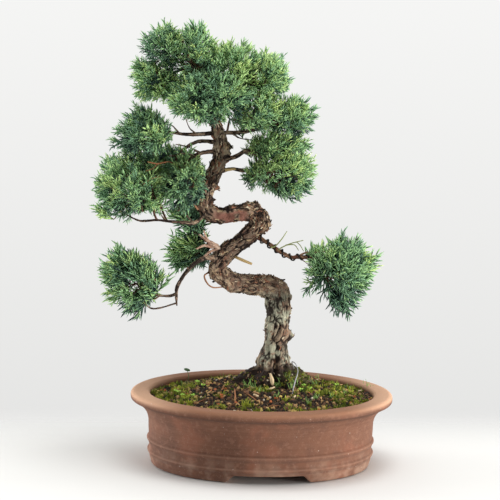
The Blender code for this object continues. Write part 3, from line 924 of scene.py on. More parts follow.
# %% Smooth paths and their frames
def smooth_path(stations, spacing):
    """Points about one spacing apart on a smooth curve; columns are x, y, z, thickness."""
    given = np.array(stations, float)
    given = np.concatenate((2 * given[:1] - given[1:2], given, 2 * given[-1:] - given[-2:-1]))
    path = []
    for a, b, c, d in zip(given, given[1:], given[2:], given[3:]):
        steps = max(1, round(np.linalg.norm((c - b)[:3]) / spacing))
        t = (np.arange(steps) / steps)[:, None]
        path.append(0.5 * (2 * b + (c - a) * t + (2 * a - 5 * b + 4 * c - d) * t * t
                           + (3 * b - a - 3 * c + d) * t ** 3))
    return np.concatenate((*path, given[-2:-1]))


def unit(vectors):
    """Vectors made one long."""
    return vectors / np.maximum(np.linalg.norm(vectors, axis=-1, keepdims=True), 1e-9)


def ring_frames(points, reach=1):
    """The way ahead, a side and an up vector at each point of a path."""
    last = len(points) - 1
    ahead = unit(np.array([points[min(i + reach, last)] - points[max(i - reach, 0)]
                           for i in range(len(points))]))
    side, sides = np.array((1.0, 0.0, 0.0)), []
    for way in ahead:
        side = unit(side - way * side.dot(way))
        sides.append(side)
    sides = np.array(sides)
    return ahead, sides, np.cross(ahead, sides)


def tube(path, sides, radii=None, reach=1):
    """Rings of points round a path, with the turn of each point and its outward way."""
    _, side, up = ring_frames(path[:, :3], reach)
    turns = np.linspace(0, WHOLE_TURN, sides, endpoint=False)
    out = (side[:, None] * np.cos(turns)[:, None] + up[:, None] * np.sin(turns)[:, None])
    if radii is None:
        radii = np.repeat(path[:, 3:4] / 2, sides, 1)
    return path[:, None, :3] + out * radii[..., None], turns, out


def tube_faces(rows, sides):
    """Triangles of a closed tube, with a fan at each end round its first and last points."""
    quads = grid_faces(rows, sides)
    body = np.concatenate((quads[:, (0, 1, 2)], quads[:, (0, 2, 3)]))
    first, last = rows * sides, rows * sides + 1
    i = np.arange(sides)
    j = (i + 1) % sides
    top = (rows - 1) * sides
    low = np.stack((j, i, np.full(sides, first)), 1)
    high = np.stack((top + i, top + j, np.full(sides, last)), 1)
    return np.concatenate((body, low, high))


def lengths_along(path):
    """Distance from the start at each point of a path."""
    return np.r_[0, np.cumsum(np.linalg.norm(np.diff(path[:, :3], axis=0), axis=1))]


# %% [markdown]
# ## Bark
#
# Juniper bark is thin and stringy.  It splits into long plates that lift at their edges, with
# dark cracks between them, and it is paler on the ridges.  The relief is built from several
# kinds of noise laid along the trunk: broad lumps, long ridges and folds, cracks where plates
# and smaller chips meet, and a fine grain.  How deep a point lies is kept as a number, so that
# the finish can paint shade into the cracks, the hollows and the faces that look down, and a
# painted highlight, partly pale wear, onto the crests.

# %% Bark relief
def bark_relief(points, out, run, radius, seed, old=0.0):
    """Relief in millimetres at each point of a tube, how deep it lies and where its crests are.

    How deep it lies drives painted shade in cracks, hollows and on faces that look down; the
    crests get a painted highlight that is partly pale wear.  The run is the distance along the
    limb, and old is 1 where the bark is deeply furrowed."""
    size = np.clip(radius / 8.0, 0.25, 1.25)
    grain = out * 8.0 * size[..., None] ** 0.5
    grain = grain + np.stack((0 * run, 0 * run, run * 0.33), -1)
    grain = grain + 2.2 * np.stack([noise(points, 5.5, seed + i) for i in range(3)], -1)
    lumps = rough(points, 9, 3, seed + 3)
    ridges = 1 - 2 * np.abs(noise(grain, 2.3, seed + 5))
    folds = 1 - 2 * np.abs(noise(grain * (1, 1, 0.35), 3.4, seed + 25))
    fine = noise(grain, 0.75, seed + 6)
    near, next_near = cells_apart(grain * (1, 1, 0.8), 3.6, seed + 7)
    crack = (1 - ease(next_near - near, 0.02, 0.26)) * ease(noise(points, 4.2, seed + 27), -0.6, 0)
    small_near, small_next = cells_apart(grain + 50, 1.6, seed + 17)
    chips = 1 - ease(small_next - small_near, 0.02, 0.3)
    relief = size * (1.15 * lumps + 0.4 * ridges + 0.3 * fine
                     - (1 - old) * (1.1 * crack + 0.4 * chips)
                     + old * (1.1 * folds - 0.35 * crack))
    # painted shade: dark in cracks, chips, hollows of lumps and folds, and (last term) on faces
    # that look down
    deep = np.clip((1 - 0.3 * old) * (0.9 * crack + 0.55 * chips * ease(-fine, -0.6, 0.4))
                   + 0.5 * ease(-lumps, 0.15, 0.9) + (0.4 + 0.5 * old) * ease(-folds, 0.1, 0.8)
                   + 0.4 * ease(-out[..., 2], 0.2, 0.9), 0, 1)
    # painted highlight, partly pale wear, on the crests of the ridges
    crest = np.clip(ease(ridges + old * folds, 0.0, 0.8) * (1 - crack) * (1 - 0.6 * chips)
                    * ease(fine + 0.5 * lumps, -0.4, 0.5), 0, 1)
    return relief, deep, crest


# %% Bark finish
def stored(tree, name):
    """A number that the surface carries under a name, for a finish."""
    return node(tree, "ShaderNodeAttribute", attribute_name=name).outputs["Fac"]


def two_tones(tree, low, high, **sizes):
    """A colour that changes in cloudy patches between two tones."""
    return mixed(tree, mask(tree, CLOUDS, Detail=3.0, **sizes), low, high)


def bark_colours(tree):
    """Brown plates, grey and crusted where the bark is old, with painted shade near black in the
    cracks, hollows and undersides and a painted tan highlight, partly wear, on the crests.
    """
    colour = two_tones(tree, (0.128, 0.08, 0.058), (0.225, 0.162, 0.117),
                       Size=0.011, Low=0.38, High=0.62)
    smooth = two_tones(tree, (0.12, 0.045, 0.032), (0.24, 0.105, 0.078),
                       Size=0.004, Low=0.4, High=0.6)
    grey, green = stored(tree, "grey"), stored(tree, "green")
    old = times(tree, grey, mask(tree, CLOUDS, Size=0.0036, Low=0.3, High=0.5))
    crusts = times(tree, grey, mask(tree, SPECKS, Apart=0.0034, Width=0.36, Share=0.42))
    # the tan crest tone is a painted highlight, partly wear; the near-black deep tone is painted
    # shade
    for amount, strength, tone in (
            (mask(tree, CLOUDS, Size=0.0035, Low=0.5, High=0.66), 0.6, (0.27, 0.128, 0.08)),
            (stored(tree, "crest"), 0.8, (0.42, 0.32, 0.215)),
            (old, 0.85, (0.36, 0.37, 0.28)), (crusts, 0.9, (0.66, 0.63, 0.48)),
            (stored(tree, "live"), 0.92, smooth),
            (ramp(tree, stored(tree, "deep"), 0.12, 0.85), 0.97, (0.018, 0.011, 0.009))):
        colour = mixed(tree, times(tree, amount, strength), colour, tone)
    mossy = times(tree, green, mask(tree, CLOUDS, Size=0.004, Low=0.38, High=0.56))
    return mixed(tree, mossy, colour, (0.19, 0.22, 0.03))


def bark_finish():
    made, tree, shader = finish_of("flaking_bark", (0.15, 0.1, 0.07), 0.9)
    tree.links.new(bark_colours(tree), shader.inputs["Base Color"])
    bump(tree, shader, mask(tree, CLOUDS, Size=0.0009, Detail=4.0, Low=0.25, High=0.75), 0.00025)
    print("bark:", len(tree.nodes), "nodes")
    return made


BARK = bark_finish()

# %% [markdown]
# ## Trunk
#
# The trunk rises from a spread foot, turns hard to the left, comes back to the right, doubles
# over at a gnarled knuckle and then climbs to the tip.  Roots swell the foot into ridges, with
# painted shade in the hollows between them.  Single knobs are points that the bark is pushed
# out towards.

# %% Lines of the trunk
TRUNK = (
    (9.5, 12, 60.0, 27), (9.5, 12, 81, 23.5), (11.5, 12, 97, 18.5), (12, 12, 124, 18.5),
    (9.5, 11, 137, 19), (-1, 9.5, 141.5, 17), (-14, 7, 143, 16), (-29, 4, 146.5, 15.5),
    (-38, 1, 156.5, 14.5), (-33, 1, 167.5, 14), (-20, 3, 177.5, 14.5), (-10.5, 6, 186, 14.5),
    (-6.5, 6.5, 193, 14), (-11.5, 6, 199.5, 13.5), (-22, 4, 199.5, 13.5), (-37, 2, 197.5, 13),
    (-47.5, 2, 202.5, 13), (-50, 2, 212, 12), (-45, 4, 226, 11.5), (-38.5, 5, 242, 11),
    (-38.5, 4, 256, 10.5), (-42, 3, 268, 9), (-51, 1, 292, 6.5), (-62, 0, 314, 4.5),
    (-73, 0, 337, 2.2))
# bearing of each root, its reach past the trunk, its half width and its height
ROOTS = ((-4, 21, 20, 21), (182, 20, 26, 17), (118, 11, 20, 9), (62, 9, 18, 9),
         (238, 12, 20, 13), (305, 11, 18, 11))
# knobs: a place just outside the bark, how far it stands out and how wide it is
KNOBS = ((20.5, 11, 101, 4.6, 3.4), (22, 9, 133, 1.6, 3.5), (-9.5, 5, 205, 3.4, 3.2),
         (0.5, 5, 190, 2.2, 4.5), (-3, 4, 199, 2.4, 3.6), (-16, 2, 205, 2.0, 4.0),
         (-41.5, 3, 220, 4.6, 2.0), (-44, 2, 210, 4.2, 1.8), (-33, 1, 246, 4.5, 2.4),
         (-33.5, 2, 251, 3.6, 2.0), (-30, 1, 205.5, 1.6, 4.0),
         (-27, -4, 138, 1.8, 5.0), (2, 2, 148, 1.6, 5.0), (-31, 4, 253, 2.4, 2.6),
         (-12, -1, 190, 1.8, 4.0), (-44, -3, 150, 1.5, 5.0), (2.5, 4, 112, 1.5, 6.0))
TRUNK_SIDES, TRUNK_STEP, TRUNK_REACH = 96, 0.72, 5
KNUCKLE = (-6, 4, 197)
print("trunk:", len(TRUNK), "stations,", len(ROOTS), "roots,", len(KNOBS), "knobs")


def root_swell(turn, height):
    """How far the roots push the foot out at a bearing and a height over the soil."""
    swell = np.zeros(np.broadcast_shapes(np.shape(turn), np.shape(height)))
    for bearing, reach, width, top in ROOTS:
        off = (np.degrees(turn) - bearing + 180) % 360 - 180
        swell += reach * np.exp(-(off / width) ** 2) * np.clip(1 - height / top, 0, 1) ** 0.8
    return swell


def between(values, low, full, last, high):
    """1 from full to last, and nothing below low or above high."""
    return ease(values, low, full) * (1 - ease(values, last, high))


# %% [markdown]
# The bark changes on its way up.  At the foot it is folded, with painted shade between the
# roots and near the soil, above that it is old and grey, on the level stretch, which faces up,
# the crests get more painted highlight and the hollows less painted shade, and under the second
# bend a bare strip of live red bark shows.  Each of these is a share from 0 to 1 by place.

# %% Trunk
def trunk_marks(points, out, turns, relief, deep, crest):
    """The bark's relief with everything that is special to the trunk, and its stored marks."""
    x, z = points[..., 0], points[..., 2]
    foot = 1 - ease(z, 70, 92)
    round_foot = np.stack((np.cos(turns) * 9 + 0 * z, np.sin(turns) * 9 + 0 * z, z * 0.16), -1)
    folds = 1 - 2 * np.abs(noise(round_foot, 3.1, 71))
    relief = relief + foot * (3.2 * folds + 1.8 * noise(points, 5, 72) - 1.0)
    # painted shade: dark in the hollows of the root folds, and all round the foot near the soil
    deep = np.maximum(deep, foot * ease(-folds, -0.25, 0.5))
    shade = 0.72 + 0.28 * ease(noise(points, 4, 73), -0.4, 0.2)
    deep = np.maximum(deep, (1 - ease(z, 71, 83)) * shade * (1 - 0.5 * ease(x, 22, 30)))

    # the level stretch faces up: more painted highlight on its crests, less painted shade; the
    # slope above the reverse
    level, slope = between(z, 130, 137, 150, 160), between(z, 160, 168, 182, 190)
    deep = deep * (1 - 0.72 * level) + 0.12 * slope
    crest = np.clip(crest * (1 + 0.9 * level - 0.7 * slope), 0, 1)

    live = between(x, -46, -38, -20, -12) * between(z, 180, 186, 206, 210)
    live *= ease(-out[..., 1] * 0.75 - out[..., 2] * 0.75, 0.05, 0.5)
    live *= ease(noise(points, 6, 74), -0.55, -0.1)
    relief = relief * (1 - 0.85 * live) - 1.0 * live
    deep, crest = deep * (1 - 0.8 * live), crest * (1 - live)
    # each knob pushes the bark out, and its top gets a painted highlight
    for *place, rise, width in KNOBS:
        near = np.exp(-(np.linalg.norm(points - place, axis=-1) / width) ** 2)
        relief += rise * near
        crest = np.maximum(crest, 0.6 * ease(near, 0.5, 0.9))

    points = points + out * relief[..., None]
    grey = (1 - ease(z, 128, 142)) * ease(z, 72, 84) * ease(noise(points, 9, 75), -0.6, 0.1)
    green = (1 - ease(z, 64, 78)) * ease(x, 12, 24) * ease(z, 64, 70)
    flaky = 0.25 + 0.75 * ease(z, 126, 150) + 1.4 * ease(z, 206, 214)
    flaky += 0.9 * between(z, 134, 138, 152, 158)
    flaky *= (1 - live) * (0.35 + 0.65 * ease(noise(points, 7, 76), -0.4, 0.4))
    gnarl = np.exp(-(np.linalg.norm(points - KNUCKLE, axis=-1) / 13) ** 2)
    covered = (1 - ease(z, 68, 75)) * ease(z, 56, 60)
    return points, {
        "deep": deep, "crest": crest, "live": live,
        "grey": np.maximum(grey, 0.2 * ease(z, 205, 230)), "green": green,
        "flaky": flaky + 1.6 * gnarl, "mossy": 0.8 * green + 0.3 * covered * ease(x, -40, 4),
        "gritty": covered * (1 - 0.7 * green)}


def make_trunk():
    path = smooth_path(TRUNK, TRUNK_STEP)
    sides, run = TRUNK_SIDES, lengths_along(path)[:, None]
    turns = np.linspace(0, WHOLE_TURN, sides, endpoint=False)
    flute = sum(np.sin(k * turns + 0.21 * (run / 7) * (k - 3) + k) for k in (2, 3, 5))
    height = np.clip(path[:, 2:3] - 62.3, 0, 99)
    swell = root_swell(turns, height * 1.25) * (path[:, 2:3] < 90)
    radii = path[:, 3:4] / 2 * (1 + 0.05 * flute) + swell
    points, _, out = tube(path, sides, radii, TRUNK_REACH)
    old = 0.55 * (1 - ease(points[..., 2], 122, 140))
    relief = bark_relief(points, out, np.repeat(run, sides, 1), path[:, 3:4] / 2, 60, old)
    points, marks = trunk_marks(points, out, turns, *relief)
    ends = np.stack((path[0, :3], path[-1, :3] + (-0.5, 0, 1.2)))
    trunk = mesh_object("trunk_bark", np.concatenate((points.reshape(-1, 3), ends)),
                        tube_faces(len(path), sides))
    for name, values in marks.items():
        keep_value(trunk, name, np.append(np.clip(values, 0, 3).ravel(), (0, 0)))
    ahead = ring_frames(path[:, :3], TRUNK_REACH)[0]
    grain = np.repeat(ahead[:, None], sides, 1).reshape(-1, 3)
    keep_value(trunk, "grain", np.concatenate((grain, ahead[:2])), "FLOAT_VECTOR")
    return finished(trunk, "bark", "trunk", finish=BARK), path


TRUNK_PIECE, TRUNK_PATH = make_trunk()

# %% [markdown]
# ## Loose flakes of bark
#
# Old bark peels off in short curled strips that stay fixed at one end.  They break up the
# outline of the trunk more than any relief can.  The second scattering tree strews them where
# the bark is loose and lays each along the grain, and the strips themselves curl away from it.

# %% Bark flakes
def flake(index):
    """A curled strip with a ragged free end, its length along X, four millimetres long."""
    rng = np.random.default_rng(50 + index)
    rows, wide = 5, rng.uniform(0.7, 1.25)
    t = np.linspace(-0.25, 1, rows)
    lift = rng.uniform(0.12, 0.5) * np.clip(t, 0, 1) ** 1.6
    half = wide * (1 - 0.25 * np.clip(t, 0, 1) ** 2) * rng.uniform(0.6, 1.2, rows)
    bow = rng.normal(0, 0.2, rows)
    top = [[(4 * a - 0.6, b * side + c, 0.25 + 3.0 * d - 0.28 * abs(side))
            for side in (-1, 0, 1)] for a, b, c, d in zip(t, half, bow, lift)]
    top = np.array(top).reshape(-1, 3)
    low, under = top - (0, 0, 0.34), len(top)
    way = 1 if index % 2 else -1            # every other flake has its free end the other way
    faces = []
    for a in range(0, 3 * rows - 3, 3):
        for b in (a, a + 1):
            faces += [(b, b + 3, b + 4, b + 1),
                      (b + under, b + under + 1, b + under + 4, b + under + 3)]
        faces += [(a, a + under, a + under + 3, a + 3),
                  (a + 2, a + 5, a + under + 5, a + under + 2)]
    end = under - 3
    for j in range(2):
        faces += [(j, j + 1, j + under + 1, j + under),
                  (end + j, end + under + j, end + under + 1 + j, end + 1 + j)]
    return small_shape(f"flake_{index}", np.concatenate((top, low)) * (way, way, 1), faces)


FLAKES = shape_set("flakes", [flake(i) for i in range(6)])
for seed, (tone, colour, many, sizes) in enumerate((
        ("dark", (0.035, 0.022, 0.017), 2.6e4, (0.3, 0.85)),
        ("brown", (0.14, 0.08, 0.052), 2.4e4, (0.3, 0.85)),
        ("rusty", (0.25, 0.115, 0.068), 1.6e4, (0.3, 0.75)),
        ("tan", (0.36, 0.26, 0.16), 2.6e4, (0.3, 0.8)),
        ("pale", (0.6, 0.5, 0.36), 1.3e4, (0.25, 0.65))), 70):
    scatter("bark_flakes_" + tone, "bark", seed, plain_finish("flake_" + tone, colour), FLAKES,
            "flaky", many, sizes, lean=0.7, body=TRUNK_PIECE, tree=GRAIN_TREE)

# %% [markdown]
# ## Boughs
#
# Each bough leaves the trunk from inside its bark, so there is no seam, and ends inside the
# foliage that it carries, where the twigs take over.  It has the same kind of bark in finer
# grain, and the wired one on the right is younger and redder.  Several tubes can be joined into
# one piece, so a bough keeps its snags and side twigs.

# %% Lines of the boughs
BOUGHS = {
    "bough_right_wired": (
        (-12, 5, 184, 5.0), (0, 2, 177, 4.6), (9, -3, 171.5, 4.2), (18, -7, 167, 3.9),
        (26, -9, 167.5, 3.6), (50, -10, 165, 2.8)),
    "bough_left_hook": (
        (-36, 0, 163, 6.0), (-43, -6, 165.5, 5.4), (-50, -11, 165.5, 5), (-58.5, -15, 161, 4.6),
        (-66, -17, 152.5, 4.2), (-70.5, -18, 144, 3.8), (-71, -18, 136, 3.2),
        (-70.5, -18, 129.5, 1.8)),
    "bough_ball": (
        (-70.8, -18, 139, 3.0), (-77.5, -17, 137, 2.8), (-90, -14, 138, 2.4),
        (-104, -8, 146, 1.8)),
    "bough_low_left": (
        (-47, 2, 202, 4.4), (-57, -12, 194, 3.9), (-71, -17, 194.5, 3.4), (-87, -18, 196, 2.8),
        (-102, -16, 195.5, 2.2), (-118, -10, 204, 1.4)),
    "bough_left_top": (
        (-40, 4, 262, 4.6), (-54, 0, 261.2, 3.9), (-65, -2, 260.8, 3.4), (-76, -2, 262, 2.8),
        (-100, 0, 264, 1.8)),
    "bough_left_back": (
        (-39, 4, 254, 4.6), (-52, 9, 255, 3.9), (-62, 18, 250, 3.3), (-76, 34, 236, 2.2)),
    "bough_left_front": (
        (-38, 5, 247, 4.8), (-51, -4, 247.5, 4.1), (-61, -9, 244, 3.5), (-70, -12, 236, 3.0),
        (-74, -14, 222, 2.2)),
    "bough_right_top": (
        (-40, 4, 262, 4.6), (-24, 1, 263, 4.0), (-10, -4, 266.5, 3.6), (0, -6, 270, 3.2),
        (6, -8, 278, 2.8), (22, -4, 282, 2.0), (30, 0, 282, 1.2)),
    "bough_right_upper": (
        (-38, 5, 240, 4.8), (-26, 0, 244.5, 4.2), (-19, -3, 249, 3.8), (-8, -5, 249, 3.4),
        (6, -6, 257, 2.4), (22, -2, 256, 1.4)),
    "bough_right_cut": (
        (-42, 6, 231, 4.8), (-28, 11, 233.5, 4.2), (-18, 14, 232, 3.8), (8, 14, 232, 2.8),
        (24, 2, 230, 1.6)),
    "bough_inner": (
        (-34, 4, 168, 4.2), (-43, 11, 175, 3.6), (-52, 15, 176, 3.2), (-64, 18, 172, 2.2)),
}
# bare side twigs and snags that belong to a bough
SNAGS = {
    "bough_left_hook": (
        ((-70.9, -18, 138.7, 2.4), (-79, -17, 137.0, 2.0), (-87.4, -16, 137.4, 1.3)),
        ((-70.8, -18, 131.6, 2.2), (-78, -20, 129.6, 1.9), (-87, -21, 127.6, 1.7),
         (-92.5, -21, 129, 1.4), (-97, -19, 134, 1.1)),
        ((-62, -16, 157, 2.4), (-63.5, -19, 160.5, 1.0))),
    "bough_low_left": (
        ((-60, -13, 195, 2.0), (-66, -15, 201, 1.4), (-71, -14, 206, 0.9)),
        ((-80, -17.5, 195, 1.6), (-84, -17, 200, 1.1), (-85, -16, 207, 0.8))),
    "bough_right_wired": (
        ((22, -8, 167, 2.2), (30, -9, 171, 1.8), (38, -9, 171.5, 1.4), (46, -8, 172, 0.9)),
        ((25, -9, 167, 1.6), (33, -11, 161, 1.2), (38, -11, 156, 0.9)),
        ((34, -9, 166.5, 1.8), (44, -12, 163, 1.3), (52, -12, 158, 0.9))),
    "bough_left_top": (
        ((-57, -1, 261, 2.0), (-63, -4, 266, 1.4), (-66, -5, 273, 0.9)),
        ((-70, -2, 261, 1.8), (-76, 0, 267, 1.2), (-80, 2, 268, 0.8))),
    "bough_left_front": (
        ((-54, -6, 247, 2.4), (-64, -12, 252, 1.7), (-74, -12, 254, 1.1)),
        ((-58, -8, 245, 2.0), (-68, -14, 247, 1.4), (-79, -14, 245, 1.0))),
    "bough_right_upper": (
        ((-20, -3, 248, 2.2), (-10, -8, 246, 1.5), (-1, -9, 243, 1.0)),),
    "bough_right_top": (
        ((-30, 2, 262.5, 2.0), (-24, -4, 259, 1.5), (-17, -6, 258, 1.0)),),
    "bough_inner": (
        ((-46, 12, 175.5, 2.0), (-52, 8, 181, 1.4), (-57, 6, 183, 0.9)),),
}
print("boughs:", len(BOUGHS), "with", sum(map(len, SNAGS.values())), "snags")

# %% Boughs
LIMB_WIDTH = 0.78       # bark relief makes a limb thicker, so its tube starts thinner


def capped(rings, path, **marks):
    """A part of a piece: the points and faces of a closed tube, and its stored marks."""
    points = np.concatenate((rings.reshape(-1, 3), path[:1, :3], path[-1:, :3]))
    marks = {name: np.append(values.ravel(), (0, 0)) for name, values in marks.items()}
    return points, tube_faces(*rings.shape[:2]), marks


def limb_part(stations, seed, sides=14, depth=1.0):
    """One limb with bark; depth says how strong its relief is."""
    path = smooth_path(stations, 0.9)
    path[:, 3] *= LIMB_WIDTH
    rings, _, out = tube(path, sides, reach=3)
    run = np.repeat(lengths_along(path)[:, None], sides, 1)
    relief, deep, crest = bark_relief(rings, out, run, path[:, 3:4] / 2, seed)
    lumps = noise(rings, 3.2, seed + 40) * path[:, 3:4] * 0.07 * depth
    return capped(rings + out * (relief * depth + lumps)[..., None], path, deep=deep, crest=crest)


def joined(parts):
    """The points and the faces of several parts, as one."""
    starts = np.cumsum([0] + [len(points) for points, _, _ in parts])
    return (np.concatenate([points for points, _, _ in parts]),
            np.concatenate([faces + at for (_, faces, _), at in zip(parts, starts)]))


def joined_piece(name, parts):
    """One mesh from several parts, each points, faces and marks stored on the points."""
    piece = mesh_object(name, *joined(parts))
    for key in parts[0][2]:
        keep_value(piece, key, np.concatenate([marks[key] for _, _, marks in parts]))
    return piece


def cracked_finish(name, colour, roughness, low, high, crack, **sizes):
    """Wood or young bark: two tones in patches, with painted shade darkening the cracks, hollows
    and undersides.
    """
    made, tree, shader = finish_of(name, colour, roughness)
    # painted shade: the stored depth darkens cracks, hollows and undersides
    painted_crack_shade = times(tree, stored(tree, "deep"), 0.8)
    tree.links.new(mixed(tree, painted_crack_shade, two_tones(tree, low, high, **sizes), crack),
                   shader.inputs["Base Color"])
    return made


REDDISH = cracked_finish("reddish_bark", (0.3, 0.15, 0.09), 0.8, (0.24, 0.1, 0.062),
                         (0.46, 0.26, 0.15), (0.045, 0.022, 0.016),
                         Size=0.004, Low=0.38, High=0.62)
for seed, (name, stations) in enumerate(BOUGHS.items()):
    parts = [limb_part(stations, 200 + 7 * seed)]
    parts += [limb_part(snag, 500 + 7 * seed + i, 8, 0.8)
              for i, snag in enumerate(SNAGS.get(name, ()))]
    finished(joined_piece(name + "_bark", parts), "bark", name,
             finish=REDDISH if name == "bough_right_wired" else BARK)

# %% [markdown]
# ## Dead wood and wire
#
# Old stubs are left on the trunk, bare and bleached, with a split end; others were cut clean
# and show pale wood.  The bough on the right still wears its training wire, wound round it in
# open turns, with a few green shoots above, and a loop of grey wire is left at the roots.

# %% Dead wood and bare twigs
DEADWOOD = cracked_finish("bleached_wood", (0.42, 0.27, 0.19), 0.85, (0.42, 0.24, 0.17),
                          (0.62, 0.46, 0.35), (0.12, 0.06, 0.04),
                          Size=0.005, Low=0.35, High=0.65)
CUT_WOOD = plain_finish("cut_wood", (0.62, 0.44, 0.2), 0.7)
YOUNG_BARK = plain_finish("young_bark", (0.27, 0.135, 0.075), 0.75)
ORANGE_BARK = plain_finish("orange_bark", (0.24, 0.1, 0.045), 0.75)

finished(joined_piece("bleached_stub", [
    limb_part(((-35, 1, 169, 7.0), (-41, -3, 174.5, 5.6), (-47, -8, 179, 4.2),
               (-54, -13, 184.5, 2.0)), 801, 16, 1.3),
    limb_part(((-43, -5, 174, 4.4), (-50, -10, 175.5, 3.0), (-56.4, -14, 173.5, 1.2)), 802, 10),
    limb_part(((-46, -7, 178, 3.6), (-49, -9, 183, 2.6), (-50.5, -10, 187.5, 1.0)), 803, 10),
    limb_part(((-40, -3, 172, 4.0), (-46, -9, 170, 2.6), (-51, -12, 166.5, 1.0)), 804, 10)]),
    "deadwood", "stub_bleached", finish=DEADWOOD)


def loose_piece(name, slot, finish, depth, *limbs):
    """Limbs that stand for no solid: stubs, twigs or shoots."""
    parts = [limb_part(stations, 830 + i, 10, depth) for i, stations in enumerate(limbs)]
    finished(joined_piece(name, parts), slot, finish=finish)


loose_piece("cut_stubs", "deadwood", CUT_WOOD, 0.2,
            ((-27, 2, 166.5, 3.2), (-19, -4, 163.6, 3.0), (-11.8, -6, 161.0, 2.7)),
            ((-34, 7, 233, 3.4), (-29, 7, 233.6, 3.0), (-25.5, 7, 234.2, 2.6)))
loose_piece("young_twigs", "bark", YOUNG_BARK, 0.3,
            ((-45, 0, 153, 1.9), (-48.8, -6, 151, 1.7), (-46.4, -8, 145.5, 1.6),
             (-41.5, -7, 142.2, 1.5), (-33, 0, 141.6, 1.3)),
            ((-55, -5, 203, 1.8), (-61, -9, 208.4, 1.4), (-71, -14, 202.8, 0.9)),
            ((-49, -2, 211, 2.4), (-57, -4, 210.4, 1.8), (-65.9, -5, 210.3, 1.2)))
loose_piece("orange_twigs", "bark", ORANGE_BARK, 0.5,
            ((-70, -12, 236, 1.7), (-79, -19, 241, 1.5), (-88, -26, 240.2, 1.5),
             (-96, -29, 241.8, 0.9)),
            ((-88, -26, 240.2, 1.3), (-92, -29, 236.5, 1.1), (-97, -31, 235.0, 0.8)),
            ((-73.5, -13.5, 226, 1.7), (-82, -21, 229, 1.5), (-89, -27, 229.9, 1.5),
             (-95, -30, 227.5, 1.2), (-99.5, -31, 224.5, 0.8)))


# %% Wire
WIRE_LOOP = ((25, 2, 76, 0.8), (22.8, -2, 82.3, 0.8), (24.6, -9, 82.4, 0.8),
             (25.9, -16, 78.2, 0.8), (23.5, -20, 71, 0.8), (21.0, -22.5, 61, 0.8))
WIRED_FROM, WIRED_TO, WIRE_PITCH = 7, 60, 7.0       # lengths along the bough
WIRE_WIDTH, WIRE_GAP, WIRE_STEP = 1.35, 0.3, 0.45


def coil(stations):
    """The path of a wire wound round a limb."""
    path = smooth_path(stations, 0.5)
    run = lengths_along(path)
    _, side, up = ring_frames(path[:, :3], 4)
    where = np.arange(WIRED_FROM, WIRED_TO, WIRE_STEP)
    middle, side, up = (np.stack([np.interp(where, run, column) for column in table.T], 1)
                        for table in (path, side, up))
    turn = where * WHOLE_TURN / WIRE_PITCH
    away = (middle[:, 3] / 2 + WIRE_GAP)[:, None]
    ring = middle[:, :3] + away * (side * np.cos(turn)[:, None] + up * np.sin(turn)[:, None])
    return np.c_[ring, np.full(len(ring), WIRE_WIDTH)]


def wire_piece(name, path, finish):
    finished(joined_piece(name, [capped(tube(path, 6)[0], path)]), "bark", finish=finish)


wire_piece("training_wire", coil(BOUGHS["bough_right_wired"]),
           plain_finish("blackened_wire", (0.022, 0.02, 0.019), 0.45, Metallic=0.4))
wire_piece("grey_wire", smooth_path(WIRE_LOOP, 1.0),
           plain_finish("aluminium_wire", (0.3, 0.3, 0.31), 0.45, Metallic=0.7))

# %% Green shoots
loose_piece("green_shoots", "foliage",
            plain_finish("green_shoot", (0.38, 0.42, 0.17), 0.7), 0.1,
            ((3, -4, 174, 1.5), (6, -6.5, 175.5, 1.3), (10.5, -8, 181, 1.1),
             (14.7, -8, 187.6, 0.8)),
            ((9, -4, 172, 1.5), (11, -7, 174.5, 1.3), (18.2, -9, 178.2, 1.1),
             (27.5, -9, 180.7, 0.8)),
            ((14, -7, 176.5, 1.2), (20.6, -9, 177, 1.0), (24.2, -8, 172.6, 0.7)),
            ((22, -9, 179.5, 1.1), (25, -9, 177, 0.9), (28.2, -8, 172, 0.7)))

# %% [markdown]
# ## Sprays of foliage
#
# A trained juniper has no needles to speak of: its leaves are tiny scales pressed onto cords
# about a millimetre thick, and the cords fork again and again into soft sprays about a
# centimetre long.  A cord is a three-sided tube whose rings thicken and thin, a few faces in
# all, and a spray is a leading cord with shorter ones at an angle on both sides.  Eight sprays
# are made, and thousands of copies of them are turned and sized by their places on the twigs.

# %% Spray shapes
THIRD_TURN, SIXTH_TURN = 2.0944, 1.0472
SIDE_CORDS, FORKED = 5, 3               # cords beside the leading one, and how many fork


def cord(start, way, length, radius, rings, rng):
    """A short blunt cord: its points, its faces and how near each face is to the tip."""
    bend = unit(way + rng.normal(0, 0.16, 3))
    part = np.linspace(0, 1, rings + 1)[:, None]
    line = start + length * (way * part + (bend - way) * part * part)
    side = unit(np.cross(way, (0.31, 0.52, 0.79)))
    up = np.cross(way, side)
    points = []
    for i in range(rings):
        turn = np.arange(3) * THIRD_TURN + (i % 2) * SIXTH_TURN
        wide = radius * (0.8 if i == 0 else 1.0 if i % 2 else 1.12) * (1 - 0.3 * i / rings)
        points.append(line[i] + wide * (side * np.cos(turn)[:, None]
                                        + up * np.sin(turn)[:, None]))
    faces = []
    for i in range(rings - 1):
        for j in range(3):
            a, b = 3 * i + j, 3 * i + (j + 1) % 3
            faces += [(a, b, b + 3), (a, b + 3, a + 3)]
    last, top = 3 * rings, 3 * (rings - 1)
    faces += [(top + j, top + (j + 1) % 3, last) for j in range(3)]
    near_tip = np.repeat(np.arange(rings), [6] * (rings - 1) + [3]) / max(1, rings - 1)
    return np.concatenate((*points, line[rings:])), np.array(faces), near_tip


